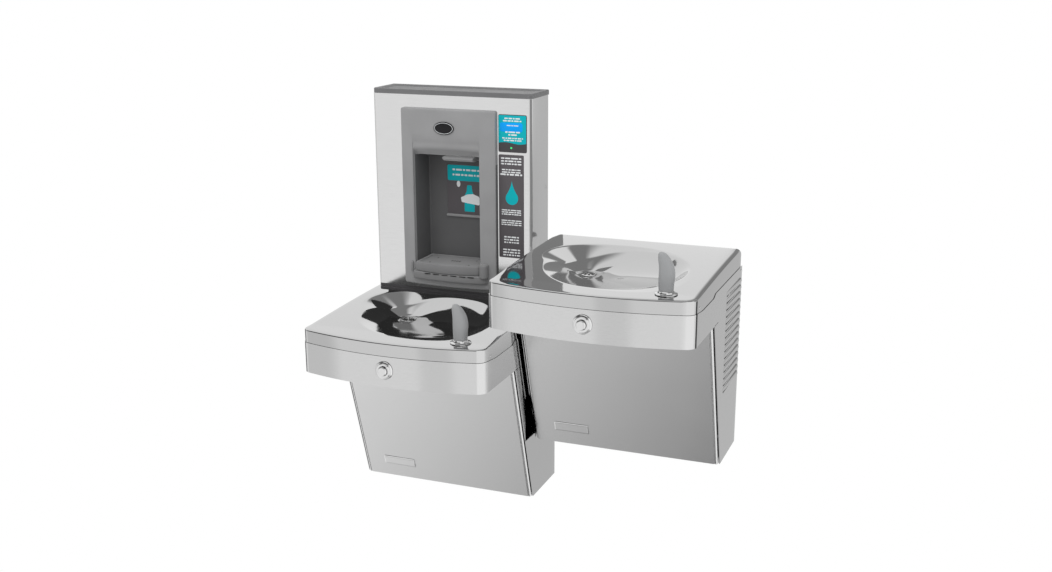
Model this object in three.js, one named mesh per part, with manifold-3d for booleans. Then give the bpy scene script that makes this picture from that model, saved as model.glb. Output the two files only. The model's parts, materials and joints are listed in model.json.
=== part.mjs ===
// Wall-mounted two-level drinking fountain with a bottle filler.
// Millimetres. X is to the right, Y goes into the wall and Z is up. The wall is the plane y = 0,
// and the origin is on it, at mid-height of the low unit's back frame.
import * as THREE from 'three';
import { mergeVertices } from 'three/addons/utils/BufferGeometryUtils.js';
import Module from 'manifold-3d';

const wasm = await Module();
wasm.setup();

// ---------------------------------------------------------------- driving sizes
const PITCH = 478; // low unit's centre line to high unit's centre line
const STEP = 161.5; // low deck to high deck
const LOW_DECK = 255; // front edge of the low deck above the origin
const GAP = 0.3; // clearance between pieces that touch
const SHEET = 1.5; // cabinet sheet

const BASIN = { halfWidth: 235, depth: 494.5, bow: 34.5, corner: 26, backCorner: 14, skirt: 31, sheet: 2 };
const CROWN = { height: 13, front: -420, back: -40, power: 1.6 }; // the deck rises towards the wall
const BOWL = { x: 2, y: -265, radius: 165 };
const DRAIN = { x: -89, y: -192, z: -35, radius: 21, seat: 30, wall: 30 };
const BUBBLER = { x: 163, y: -428, hole: 9, seat: 1.4 };

const SHROUD = { halfWidth: 236.2, depth: 495.7, corner: 27, band: 105.5, bottom: 481 };
const PANEL = {
  bottomDepth: 166.2, topDepth: 282.5, halfFlat: 225.5, roll: 7, hem: 18, top: 100, setBack: 6,
};
const PANEL_SLOPE = (PANEL.topDepth - PANEL.bottomDepth) / (SHROUD.bottom - SHROUD.band);
const FRAME = { halfWidth: 230, sheet: 2, flange: 26, top: 34, bottom: 476 };
const LOUVRE = { count: 15, pitch: 16.7, first: 62.4, height: 5, front: -165, back: -20 };

const BUTTON = { z: -64.5, radius: 11, stem: 5, tip: 1.5, proud: 13, collar: 22, nut: 17.5, hole: 8 };
const LEVER = { y: -443.5, z: -92, top: -58, halfWidth: 8, barrel: 4, pin: 2, bore: 2.4, plate: 2 };
const VALVE = { halfWidth: 16, front: -437, back: -405, bottom: -98, top: -48, port: -65 };

const FILLER = {
  left: -209.5, right: 215, depth: 114.6, corner: 7, foot: 13.4, body: 31.3, top: 520.7, cap: 533,
};
const FASCIA = { left: -126, right: 127, edge: 131, bow: 12, bottom: 45, top: 490, corner: 6, wall: 3 };
const ALCOVE = { left: -93, right: 86, floor: 81.5, ceiling: 372, back: -43.5, mouth: 412 };
const LABELS = { left: 129.5, right: 203 };
const TRAY = { top: 104, dish: 4, rim: 8, front: 141, bulge: 14 };

// ---------------------------------------------------------------- materials
function paint(color, roughness, metalness) {
  return new THREE.MeshStandardMaterial({ color, roughness, metalness });
}

const polishedSteel = paint(0xd4d6d8, 0.12, 1);
const brushedSteel = paint(0xc6c8ca, 0.32, 1);
const chrome = paint(0xdadcde, 0.08, 1);
const galvanised = paint(0x9fa3a6, 0.5, 1);
const greyPlastic = paint(0x8a8b8c, 0.5, 0);
const darkPlastic = paint(0x4e4f52, 0.45, 0);
const blackPlastic = paint(0x202124, 0.35, 0);
const greyRubber = paint(0x8b8d8f, 0.6, 0);
const tealPrint = paint(0x12a5ad, 0.3, 0);
const tubing = paint(0xe8e8e4, 0.4, 0);
const drainPipe = paint(0xd8d8d6, 0.5, 0);
const copper = paint(0xb87345, 0.3, 1);
const blackPaint = paint(0x1c1d1f, 0.4, 0);
const motorGrey = paint(0x5d6165, 0.5, 0.6);
const finMetal = paint(0xb4b8bb, 0.4, 1);
const insulation = paint(0x2c2d2f, 0.85, 0);
const filterWhite = paint(0xececea, 0.35, 0);
const lightGreen = paint(0x52d04c, 0.3, 0);

// ---------------------------------------------------------------- solids from three.js geometry
function solid(geometry) {
  const bare = geometry.clone();
  bare.deleteAttribute('normal');
  bare.deleteAttribute('uv');
  const merged = mergeVertices(bare, 1e-4);
  return new wasm.Manifold(new wasm.Mesh({
    numProp: 3,
    vertProperties: new Float32Array(merged.attributes.position.array),
    triVerts: new Uint32Array(merged.index.array),
  }));
}

function geometryOf(body) {
  const mesh = body.getMesh();
  const geometry = new THREE.BufferGeometry();
  geometry.setAttribute('position', new THREE.BufferAttribute(mesh.vertProperties, 3));
  geometry.setIndex(new THREE.BufferAttribute(mesh.triVerts, 1));
  geometry.computeVertexNormals();
  return geometry;
}

const join = (first, ...others) => others.reduce((all, body) => all.add(body), first);
const cut = (first, ...others) => others.reduce((all, body) => all.subtract(body), first);

function box([x0, x1], [y0, y1], [z0, z1]) {
  const geometry = new THREE.BoxGeometry(x1 - x0, y1 - y0, z1 - z0);
  geometry.translate((x0 + x1) / 2, (y0 + y1) / 2, (z0 + z1) / 2);
  return solid(geometry);
}

// Turns an extrusion, which runs along local Z, so that it runs along the named axis.
const BASIS = {
  x: new THREE.Matrix4().makeBasis(
    new THREE.Vector3(0, 1, 0), new THREE.Vector3(0, 0, 1), new THREE.Vector3(1, 0, 0)),
  y: new THREE.Matrix4().makeBasis(
    new THREE.Vector3(0, 0, 1), new THREE.Vector3(1, 0, 0), new THREE.Vector3(0, 1, 0)),
  z: new THREE.Matrix4(),
};

// Extrudes an outline from one coordinate to another along an axis. The outline's points are
// (y, z) along x, (z, x) along y and (x, y) along z.
function prism(axis, outline, from, to) {
  const shape = new THREE.Shape(outline.map(([a, b]) => new THREE.Vector2(a, b)));
  const geometry = new THREE.ExtrudeGeometry(shape, { depth: to - from, bevelEnabled: false });
  geometry.translate(0, 0, from);
  return solid(geometry.applyMatrix4(BASIS[axis]));
}

function disc(radius, sides) {
  const step = (2 * Math.PI) / sides;
  return Array.from({ length: sides }, (_, i) => [radius * Math.cos(i * step), radius * Math.sin(i * step)]);
}

function rod(axis, radius, from, to, [a, b], sides = 16) {
  return prism(axis, disc(radius, sides).map(([u, v]) => [u + a, v + b]), from, to);
}

// A turned body. The profile's points are (radius, height), listed either way round, and height
// runs along the axis.
function turned(axis, profile, sides = 20) {
  const points = profile.map(([r, h]) => new THREE.Vector2(r, h));
  if (THREE.ShapeUtils.area(points) < 0) points.reverse();
  const geometry = new THREE.LatheGeometry(points, sides);
  geometry.rotateX(Math.PI / 2);
  return solid(geometry.applyMatrix4(BASIS[axis]));
}

function tube(points, radius, sides = 8, steps = 14) {
  const path = new THREE.CatmullRomCurve3(points.map((p) => new THREE.Vector3(...p)));
  const shape = new THREE.Shape(disc(radius, sides).map(([a, b]) => new THREE.Vector2(a, b)));
  return solid(new THREE.ExtrudeGeometry(shape, { steps, bevelEnabled: false, extrudePath: path }));
}

// A skin over equal rings of points. Closed, the last ring joins the first, else both ends are capped.
function skin(rings, closed) {
  const count = rings[0].length;
  const points = rings.flat();
  const faces = [];
  const last = closed ? rings.length : rings.length - 1;
  for (let r = 0; r < last; r += 1) {
    const here = r * count;
    const next = ((r + 1) % rings.length) * count;
    for (let i = 0; i < count; i += 1) {
      const j = (i + 1) % count;
      faces.push(here + i, here + j, next + j, here + i, next + j, next + i);
    }
  }
  if (!closed) {
    const top = (rings.length - 1) * count;
    for (let i = 1; i < count - 1; i += 1) {
      faces.push(0, i + 1, i, top, top + i, top + i + 1);
    }
  }
  const geometry = new THREE.BufferGeometry();
  geometry.setAttribute('position', new THREE.Float32BufferAttribute(points.flat(), 3));
  geometry.setIndex(faces);
  return solid(geometry);
}

// ---------------------------------------------------------------- outlines
function arc(cx, cy, radius, fromDegrees, toDegrees, steps) {
  return Array.from({ length: steps + 1 }, (_, i) => {
    const angle = THREE.MathUtils.degToRad(fromDegrees + ((toDegrees - fromDegrees) * i) / steps);
    return [cx + radius * Math.cos(angle), cy + radius * Math.sin(angle)];
  });
}

// Evenly spaced numbers between two ends, without the ends.
function between(from, to, count) {
  return Array.from({ length: count }, (_, i) => from + ((to - from) * (i + 1)) / (count + 1));
}

// A unit seen from above: straight back and sides, rounded corners and a bowed front. It runs
// anticlockwise from the back left corner, and inset moves every side inwards.
function bowFront({ halfWidth, depth, bow, corner, backCorner, back }, inset = 0) {
  const w = halfWidth - inset;
  const d = depth - inset;
  const front = Math.max(corner - inset, 1);
  const rear = Math.max(backCorner - inset, 1);
  const y = back - inset;
  const tilt = THREE.MathUtils.radToDeg(Math.atan((2 * bow) / w));
  const reach = front * Math.tan(THREE.MathUtils.degToRad((90 - tilt) / 2));
  const side = -(d - bow) + reach; // where the straight side meets the front corner
  const bowSteps = 10;
  const bowEnd = w - front + front * Math.sin(THREE.MathUtils.degToRad(tilt));
  const bowLine = Array.from({ length: bowSteps - 1 }, (_, i) => {
    const x = bowEnd * (-1 + (2 * (i + 1)) / bowSteps);
    return [x, -(d - bow * (x / w) ** 2)];
  });
  const sideLine = (sign, order) => order.map((t) => [sign * w, y - rear + (side - y + rear) * t]);
  return [
    ...arc(-w + rear, y - rear, rear, 90, 180, 2),
    ...sideLine(-1, between(0, 1, 7)),
    ...arc(-w + front, side, front, 180, 270 - tilt, 4),
    ...bowLine,
    ...arc(w - front, side, front, 270 + tilt, 360, 4),
    ...sideLine(1, between(1, 0, 7)),
    ...arc(w - rear, y - rear, rear, 0, 90, 2),
    ...between(1, -1, 7).map((t) => [t * (w - rear), y]),
  ];
}

// A box seen from above, with its two front corners rounded.
function roundedFront(left, right, front, back, radius) {
  return [
    [left, back],
    ...arc(left + radius, front + radius, radius, 180, 270, 3),
    ...arc(right - radius, front + radius, radius, 270, 360, 3),
    [right, back],
  ];
}

function roundedBox(left, right, bottom, top, radius, steps = 3) {
  return [
    ...arc(left + radius, bottom + radius, radius, 180, 270, steps),
    ...arc(right - radius, bottom + radius, radius, 270, 360, steps),
    ...arc(right - radius, top - radius, radius, 0, 90, steps),
    ...arc(left + radius, top - radius, radius, 90, 180, steps),
  ];
}

const swap = (outline) => outline.map(([a, b]) => [b, a]).reverse();

// ---------------------------------------------------------------- basin
function deckHeight(y) {
  const t = THREE.MathUtils.clamp((y - CROWN.front) / (CROWN.back - CROWN.front), 0, 1);
  return CROWN.height * (1 - (1 - t) ** CROWN.power);
}

// A smooth bump of height 1 round a compass direction, in degrees.
function bump(angle, middle, spread) {
  const away = ((THREE.MathUtils.radToDeg(angle) - middle + 900) % 360) - 180;
  return Math.exp(-((away / spread) ** 2));
}

// How far the deck's roll into the bowl reaches: wide at the back left and at the front right.
function lipWidth(angle) {
  return 4 + 50 * bump(angle, 147, 28) + 24 * bump(angle, 100, 40) + 32 * bump(angle, 316, 37);
}

// One straight line up the dish, from the drain towards a direction from the bowl's middle.
function dishLine(angle) {
  const x = BOWL.x + BOWL.radius * Math.cos(angle);
  const y = BOWL.y + BOWL.radius * Math.sin(angle);
  const [armX, armY] = [x - DRAIN.x, y - DRAIN.y];
  const length = Math.hypot(armX, armY);
  const out = (reach) => [DRAIN.x + (armX / length) * reach, DRAIN.y + (armY / length) * reach];
  const lip = lipWidth(angle);
  const deck = deckHeight(out(length + lip)[1]);
  const slope = (deck - DRAIN.z) / (length - DRAIN.seat + lip / 2);
  // towards the right the floor stays low, and ends in a steeper wall
  const wall = bump(angle, 12, 45) * 0.45;
  const height = (reach) => {
    const rise = (reach - DRAIN.seat) * slope;
    const bend = Math.min(1, (length - reach) / DRAIN.wall) * Math.min(1, (reach - DRAIN.seat) / 60);
    return DRAIN.z + rise * (1 - wall * bend);
  };
  return { out, length, lip, deck, height };
}

function basin() {
  const plan = { ...BASIN, back: -1 };
  const rim = bowFront(plan);
  const lines = rim.map(([x, y]) => dishLine(Math.atan2(y - BOWL.y, x - BOWL.x)));
  const seat = lines.map(({ out }) => [...out(DRAIN.seat), DRAIN.z]);
  const hole = lines.map(({ out }) => [...out(DRAIN.radius), DRAIN.z]);
  const dishRing = (share) => lines.map(({ out, length, height }) => {
    const run = length - DRAIN.seat;
    const reach = DRAIN.seat + share * (run - Math.min(DRAIN.wall, run / 2));
    return [...out(reach), height(reach)];
  });
  const edge = lines.map(({ out, length, height }) => [...out(length), height(length)]);
  const lip = lines.map(({ out, length, lip: width, deck }) => [...out(length + width), deck]);
  const deckRing = (inset, drop) => bowFront(plan, inset).map(([x, y]) => [x, y, deckHeight(y) - drop]);
  const flatRing = (inset, z) => bowFront(plan, inset).map(([x, y]) => [x, y, z]);
  const bowl = [hole, seat, dishRing(0.5), dishRing(1), edge, lip];
  const lower = (ring) => ring.map(([x, y, z]) => [x, y, z - BASIN.sheet]);
  const rings = [
    ...bowl.map(lower), deckRing(5, BASIN.sheet), deckRing(BASIN.sheet, 6),
    flatRing(BASIN.sheet, -BASIN.skirt), flatRing(0, -BASIN.skirt), deckRing(0, 5), deckRing(1, 1.5),
    deckRing(5, 0), ...bowl.slice().reverse(),
  ];
  const spoutHole = rod('z', BUBBLER.hole, -10, 10, [BUBBLER.x, BUBBLER.y], 12);
  return cut(skin(rings, true), spoutHole);
}

// ---------------------------------------------------------------- cabinet
function panelFace(z) {
  return -(PANEL.bottomDepth + PANEL_SLOPE * (z + SHROUD.bottom));
}

// Moves an upright body that was made at y = 0 onto the sloping panel.
const LEAN = new THREE.Matrix4().set(1, 0, 0, 0, 0, 1, -PANEL_SLOPE, panelFace(0), 0, 0, 1, 0, 0, 0, 0, 1);

function shroud(louvred) {
  const plan = { ...SHROUD, bow: BASIN.bow, backCorner: 1, back: -GAP };
  const top = -BASIN.skirt - GAP;
  const outside = prism('z', bowFront(plan), -SHROUD.bottom, top);
  const inside = prism('z', bowFront({ ...plan, back: 10 }, SHEET), -SHROUD.bottom - 1, top + 1);
  const edge = (z) => [panelFace(z) + PANEL.setBack, z];
  const below = -SHROUD.bottom - 5;
  const front = [[-600, -SHROUD.band], [-600, below], edge(below), edge(-SHROUD.band)];
  const frontCut = prism('x', front, -300, 300);
  const buttonHole = rod('y', BUTTON.hole, -510, -480, [BUTTON.z, 0], 16);
  const slots = Array.from({ length: louvred ? LOUVRE.count : 0 }, (_, i) => {
    const z = -LOUVRE.first - i * LOUVRE.pitch;
    return box([225, 245], [LOUVRE.front, LOUVRE.back], [z - LOUVRE.height / 2, z + LOUVRE.height / 2]);
  });
  return cut(outside, inside, frontCut, buttonHole, ...slots);
}

// A pan with rolled side edges, leaning back towards the bottom.
function frontPanel() {
  const { halfFlat, roll, hem, top } = PANEL;
  const half = halfFlat + roll;
  const inner = roll - SHEET;
  const outline = [
    [-half, hem], ...arc(-halfFlat, roll, roll, 180, 270, 4), ...arc(halfFlat, roll, roll, 270, 360, 4),
    [half, hem], [half - SHEET, hem], ...arc(halfFlat, roll, inner, 360, 270, 4),
    ...arc(-halfFlat, roll, inner, 270, 180, 4), [-half + SHEET, hem],
  ];
  const shape = new THREE.Shape(outline.map(([x, y]) => new THREE.Vector2(x, y)));
  const geometry = new THREE.ExtrudeGeometry(shape, { depth: SHROUD.bottom - top, bevelEnabled: false });
  geometry.translate(0, 0, -SHROUD.bottom);
  return solid(geometry.applyMatrix4(LEAN));
}

function soffit() {
  const bottom = -SHROUD.band + GAP;
  const plan = { ...SHROUD, bow: BASIN.bow, backCorner: 1, back: 0 };
  const whole = prism('z', bowFront(plan, SHEET + 0.5), bottom, bottom + SHEET);
  const rear = box([-300, 300], [panelFace(bottom) - 1.2, 10], [bottom - 1, bottom + SHEET + 1]);
  return cut(whole, rear);
}

function bottomCover() {
  const z = -SHROUD.bottom + 1;
  const rear = -FRAME.sheet - 2 * GAP;
  return box([-FRAME.halfWidth, FRAME.halfWidth], [panelFace(z) + PANEL.roll, rear], [z, z + SHEET]);
}

function backFrame() {
  const { halfWidth, sheet, flange, top, bottom } = FRAME;
  const plate = box([-halfWidth, halfWidth], [-sheet, 0], [-bottom, -top]);
  const flanges = [-1, 1].map((side) => {
    const x = side * (halfWidth - sheet / 2);
    return box([x - sheet / 2, x + sheet / 2], [-flange, -sheet / 2], [-bottom, -top]);
  });
  const bolts = [-170, 170].flatMap((x) => [-70, -430].map((z) => rod('y', 5, -10, 10, [z, x], 12)));
  return cut(join(plate, ...flanges), ...bolts);
}

function nameplate() {
  const [left, right, bottom, top] = [-176, -87, -445, -420];
  const plate = prism('x', [[-1.4, bottom], [-GAP, bottom], [-GAP, top], [-1.4, top]], left, right);
  const geometry = geometryOf(plate);
  return solid(geometry.applyMatrix4(LEAN));
}

// ---------------------------------------------------------------- push button and valve
// Both are turned about Y, with height measured forwards from the apron.
const APRON = -SHROUD.depth;

function atButton(body) {
  return body.translate([0, APRON, BUTTON.z]);
}

function buttonCollar() {
  const back = -GAP;
  const profile = [
    [BUTTON.radius + 0.6, back], [BUTTON.radius + 0.6, -7], [BUTTON.nut - 1, -7], [BUTTON.nut, -6],
    [BUTTON.nut, -4.2], [BUTTON.collar - 1.5, -3.4], [BUTTON.collar, -1.8], [BUTTON.collar, back],
    [BUTTON.radius + 0.6, back],
  ];
  return atButton(turned('y', profile, 24));
}

function button() {
  const rear = -5; // the cap's back face, which stays clear of the apron at full travel
  const stemEnd = LEVER.y - LEVER.plate - 0.5 - APRON;
  const profile = [
    [0, stemEnd], [BUTTON.tip, stemEnd], [BUTTON.stem, stemEnd - 4], [BUTTON.stem, rear],
    [BUTTON.radius, rear], [BUTTON.radius, -BUTTON.proud + 2], [BUTTON.radius - 2, -BUTTON.proud],
    [0, -BUTTON.proud],
  ];
  return atButton(turned('y', profile, 24));
}

function valveBody() {
  const { halfWidth, front, back, bottom, top } = VALVE;
  const block = box([-halfWidth, halfWidth], [front, back], [bottom, top]);
  const ears = [-1, 1].map((side) => {
    const x = side * (LEVER.halfWidth + 2.5);
    return box([x - 1.5, x + 1.5], [LEVER.y - 3.5, front + 1], [LEVER.z - 5, LEVER.z + 5]);
  });
  const reach = LEVER.halfWidth + 3;
  const pin = rod('x', LEVER.pin, -reach, reach, [LEVER.y, LEVER.z], 12);
  return join(block, ...ears, pin);
}

function valveLever() {
  const { y, z, top, halfWidth, barrel, bore, plate } = LEVER;
  const hub = rod('x', barrel, -halfWidth, halfWidth, [y, z], 16);
  const blade = box([-halfWidth, halfWidth], [y - plate, y], [z, top]);
  return cut(join(hub, blade), rod('x', bore, -halfWidth - 1, halfWidth + 1, [y, z], 16));
}

// ---------------------------------------------------------------- bubbler
function bubblerBase() {
  const { seat } = BUBBLER;
  const profile = [
    [0, -22], [8, -22], [8, seat], [19, seat], [19, seat + 2.2], [16, seat + 3.7], [11, seat + 3.7],
    [11, seat + 27], [8, seat + 31], [0, seat + 31],
  ];
  return turned('z', profile, 20).translate([BUBBLER.x, BUBBLER.y, 0]);
}

function ovalRing([z, cx, halfX, halfY], sides = 14) {
  return disc(1, sides).map(([a, b]) => [BUBBLER.x + cx + a * halfX, BUBBLER.y + b * halfY, z]);
}

// A rubber hood that leans over the jet and is open towards the bowl.
function bubblerGuard() {
  const outside = [
    [BUBBLER.seat + 4, -1, 15, 15], [20, -0.5, 16, 16], [42, 0, 17.5, 17], [62, -1.5, 16, 15.5],
    [76, -5, 13.5, 12.5], [86, -10, 9, 8.5], [91, -13, 4, 4],
  ];
  const mouth = [[33, -9, 13.5, 10], [58, -11, 14, 10.5], [72, -14, 11, 8], [80, -18, 6, 4]];
  const hood = skin(outside.map((ring) => ovalRing(ring)), false);
  const hollow = skin(mouth.map((ring) => ovalRing(ring)), false);
  const socket = rod('z', 11.6, 0, 35, [BUBBLER.x, BUBBLER.y], 20);
  return cut(hood, socket, hollow);
}

// ---------------------------------------------------------------- drain
function drainStrainer() {
  const profile = [
    [0, DRAIN.z - 2.4], [16.4, DRAIN.z - 2.4], [16.4, DRAIN.z - 14], [17.8, DRAIN.z - 14],
    [17.8, DRAIN.z - 2.4], [19.4, DRAIN.z - 1], [19.4, DRAIN.z + 0.4], [0, DRAIN.z + 1.4],
  ];
  const cup = turned('z', profile, 20);
  const slots = Array.from({ length: 3 }, (_, i) => box([-14, 14], [-1.5, 1.5], [DRAIN.z - 6, DRAIN.z + 5])
    .rotate([0, 0, i * 60]));
  const spider = rod('z', 5, DRAIN.z - 2.4, DRAIN.z + 1.2, [0, 0], 10);
  return join(cut(cup, ...slots), spider).translate([DRAIN.x, DRAIN.y, 0]);
}

function drainTrap() {
  const { x, y, z } = DRAIN;
  const under = z - BASIN.sheet - GAP;
  const cup = cut(
    turned('z', [
      [0, under], [25, under], [25, under - 2.5], [21.5, under - 4], [21.5, under - 30], [12, under - 42],
      [0, under - 42],
    ]),
    turned('z', [[0, under + 1], [19.2, under + 1], [19.2, under - 26], [10, under - 36], [0, under - 36]]),
  ).translate([x, y, 0]);
  const bend = [
    [x, y, under - 40], [x, y, -120], [x, y + 8, -175], [x, y + 40, -190], [x, y + 72, -172],
    [x, y + 84, -140], [x, y + 110, -118], [x, y + 150, -114], [x, -4, -114],
  ];
  return join(cup, tube(bend, 12, 10, 26));
}

// ---------------------------------------------------------------- what only one unit holds
function compressor() {
  const base = -SHROUD.bottom + 1 + SHEET + GAP;
  const can = turned('z', [
    [0, base + 14], [44, base + 14], [54, base + 22], [56, base + 60], [56, base + 84], [48, base + 112],
    [28, base + 126], [0, base + 130],
  ], 20);
  const feet = [45, 165, 285].map((angle) => {
    const arm = box([20, 50], [-6, 6], [base + 8, base + 16]);
    return join(rod('z', 9, base, base + 15, [50, 0], 10), arm).rotate([0, 0, angle]);
  });
  return join(can, ...feet).translate([-132, -86, 0]);
}

const COOLING = { y: -95, z: -185, fan: 58, shaft: 3 };

function condenser() {
  const [back, front, bottom] = [178, 212, -300];
  const fins = Array.from({ length: 23 }, (_, i) => {
    const z = bottom + i * 10;
    return [[back + 4, z], [front, z], [front, z + 3], [back + 4, z + 3]];
  }).flat();
  const outline = [[back, bottom], ...fins, [back, bottom + 223]];
  return prism('y', swap(outline), -165, -25);
}

function fanShroud() {
  const { y, z, fan } = COOLING;
  const plate = box([168, 174], [y - 70, y + 70], [z - 70, z + 70]);
  return cut(plate, rod('x', fan + 4, 160, 180, [y, z], 24));
}

function fanMotor() {
  const { y, z, shaft } = COOLING;
  const can = rod('x', 22, 108, 144, [y, z], 20);
  const spindle = rod('x', shaft, 143, 156, [y, z], 12);
  const arms = [-1, 1].flatMap((side) => [
    box([112, 118], side < 0 ? [y - 68, y - 18] : [y + 18, y + 68], [z - 6, z + 6]),
    box([112, 168 - GAP], side < 0 ? [y - 70, y - 64] : [y + 64, y + 70], [z - 6, z + 6]),
  ]);
  return join(can, spindle, ...arms);
}

function fanBlade() {
  const { y, z, fan, shaft } = COOLING;
  const hub = cut(rod('x', 14, 150, 164, [0, 0], 20), rod('x', shaft + 0.4, 149, 158, [0, 0], 16));
  const blades = Array.from({ length: 5 }, (_, i) => box([-1.2, 1.2], [-14, 14], [10, fan])
    .rotate([0, 0, 30])
    .translate([157, 0, 0])
    .rotate([i * 72, 0, 0]));
  return join(hub, ...blades).translate([0, y, z]);
}

function chillerTank() {
  const profile = [[0, -322], [40, -322], [48, -312], [48, -132], [40, -122], [0, -122]];
  return turned('z', profile, 20).translate([-158, -80, 0]);
}

const FILTER = { x: 110, y: -85 };

function filterHead() {
  const cap = turned('z', [[0, -188], [30, -188], [34, -180], [34, -160], [0, -152]], 20)
    .translate([FILTER.x, FILTER.y, 0]);
  const arm = box([FILTER.x - 25, FILTER.x + 25], [FILTER.y + 10, -FRAME.sheet - GAP], [-180, -165]);
  const plate = box([FILTER.x - 30, FILTER.x + 30], [-6, -FRAME.sheet - GAP], [-200, -145]);
  return join(cap, arm, plate);
}

function filterCartridge() {
  const profile = [[0, -420], [22, -420], [36, -406], [36, -206], [30, -196], [30, -188.5], [0, -188.5]];
  return turned('z', profile, 20).translate([FILTER.x, FILTER.y, 0]);
}

// ---------------------------------------------------------------- bottle filler
function fillerBody() {
  const { left, right, depth, corner, body, top } = FILLER;
  const outside = prism('z', roundedFront(left, right, -depth, -GAP, corner), body, top);
  const inside = prism('z', roundedFront(left + SHEET, right - SHEET, -depth + SHEET, 10, corner - SHEET),
    body - 1, top + 1);
  const opening = box([FASCIA.left + 3.5, FASCIA.right - 3.5], [-depth - 5, -depth + 12],
    [FASCIA.bottom + 3.5, FASCIA.top - 3.5]);
  return cut(outside, inside, opening);
}

function fillerCap() {
  const { left, right, depth, top, cap } = FILLER;
  const over = 2;
  const block = prism('z', roundedFront(left - over, right + over, -depth - over, 0, 14), top + GAP, cap);
  const recess = prism('z', roundedFront(left + 10, right - 10, -depth + 10, -10, 8), cap - 3, cap + 1);
  return cut(block, recess);
}

function fillerBaseTrim() {
  const { left, right, depth, corner, foot, body } = FILLER;
  const outside = prism('z', roundedFront(left, right, -depth, -GAP, corner), foot, body - GAP);
  const inside = prism('z', roundedFront(left + 4, right - 4, -depth + 4, -6, 3), foot - 1, body + 1);
  return cut(outside, inside);
}

function fillerWallPlate() {
  const plate = box([FILLER.left + 2.5, FILLER.right - 2.5], [-FRAME.sheet, 0], [34, 518]);
  const bolts = [-160, 165].flatMap((x) => [90, 470].map((z) => rod('y', 5, -10, 10, [z, x], 12)));
  return cut(plate, ...bolts);
}

function fasciaFront(inset) {
  const half = (FASCIA.right - FASCIA.left) / 2;
  const middle = (FASCIA.right + FASCIA.left) / 2;
  const steps = 10;
  return Array.from({ length: steps + 1 }, (_, i) => {
    const t = -1 + (2 * i) / steps;
    return [middle + t * (half - inset), -(FASCIA.edge + FASCIA.bow * (1 - t * t) - inset)];
  });
}

// The alcove seen from the side, from the wall to the curved lip over its mouth.
function alcoveSection(grow) {
  const { floor, ceiling, back, mouth } = ALCOVE;
  const front = -170;
  const lip = arc(-95, mouth + 6, 46 - grow, 270, 188, 5);
  return [[front, floor - grow], [back + grow, floor - grow], [back + grow, ceiling + grow], ...lip,
    [front, mouth - grow * 0.2]];
}

function fillerFascia() {
  const { left, right, bottom, top, corner, wall } = FASCIA;
  const rest = -FILLER.depth - GAP;
  const face = prism('z', [[left, rest], ...fasciaFront(0), [right, rest]], bottom, top);
  const corners = prism('y', swap(roundedBox(left - 1, right + 1, bottom, top, corner)), -200, 0);
  const inside = [[left + wall, 10], ...fasciaFront(wall), [right - wall, 10]];
  const hollow = prism('z', inside, bottom + wall, top - wall);
  const plate = face.intersect(corners);
  const behind = box([ALCOVE.left - wall, ALCOVE.right + wall], [rest - 1, 0], [bottom + wall, top - wall]);
  const pocket = prism('x', alcoveSection(wall), ALCOVE.left - wall, ALCOVE.right + wall)
    .intersect(plate.add(behind));
  const space = prism('x', alcoveSection(0), ALCOVE.left, ALCOVE.right);
  const fillHole = rod('z', 7, 360, 420, [20, -75], 12);
  const drainHole = rod('z', 9, 60, 90, [-20, -90], 12);
  return cut(join(cut(plate, hollow), pocket), space, fillHole, drainHole);
}

function fillerNozzle() {
  const top = ALCOVE.ceiling - GAP;
  return prism('x', [[-120, top], [-120, top - 5], [-110, top - 11], [-62, top - 11], [-62, top]], -20, 62);
}

function fillerSensorPanel() {
  const front = ALCOVE.back - GAP;
  return prism('y', swap(roundedBox(-42, 62, 214, 342, 6)), front - 3, front);
}

// The tray's front edge bulges past the fascia. It lifts straight out of the alcove.
function trayOutline(inset) {
  const [left, right] = [ALCOVE.left + 2 + inset, ALCOVE.right - 2 - inset];
  const steps = 8;
  const front = Array.from({ length: steps + 1 }, (_, i) => {
    const t = -1 + (2 * i) / steps;
    return [(left + right) / 2 + (t * (right - left)) / 2, -(TRAY.front + TRAY.bulge * (1 - t * t) - inset)];
  });
  return [[left, ALCOVE.back - 1.5 - inset], ...front, [right, ALCOVE.back - 1.5 - inset]];
}

function fillerTray() {
  const { floor } = ALCOVE;
  const body = prism('z', trayOutline(0), floor + GAP, TRAY.top);
  const dish = prism('z', trayOutline(TRAY.rim), TRAY.top - TRAY.dish, TRAY.top + 5);
  const holes = [-40, -20, 0].map((x) => rod('z', 4, floor - 5, TRAY.top, [x, -90], 8));
  return cut(body, dish, ...holes);
}

function fillerBadge() {
  const outline = disc(1, 24).map(([a, b]) => [-3 + 27 * a, 445 + 16 * b]);
  const front = -(FASCIA.edge + FASCIA.bow) - GAP;
  return prism('y', swap(outline), front - 2, front);
}

function fillerDisplay() {
  const front = -FILLER.depth - GAP;
  return prism('y', swap(roundedBox(LABELS.left, LABELS.right, 391, 482, 4)), front - 2.5, front);
}

function fillerLabelStrip() {
  const front = -FILLER.depth - GAP;
  return box([LABELS.left, LABELS.right - 8], [front - 1, front], [129, 385]);
}

function fillerStatusLight() {
  const front = -FILLER.depth - GAP - 2.5 - GAP;
  return rod('y', 2.5, front - 1, front, [399, 160], 12);
}

function fillerSideScrew() {
  const x = FILLER.right + GAP;
  return rod('x', 4, x, x + 2, [-19, 294], 12);
}

function solenoidValve() {
  const block = box([-4, 44], [-92, -58], [432, 456]);
  const coil = rod('x', 15, 44, 80, [-75, 446], 16);
  return join(block, coil);
}

// ---------------------------------------------------------------- assembly
const fountain = new THREE.Group();
fountain.name = 'drinking_fountain';

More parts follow.
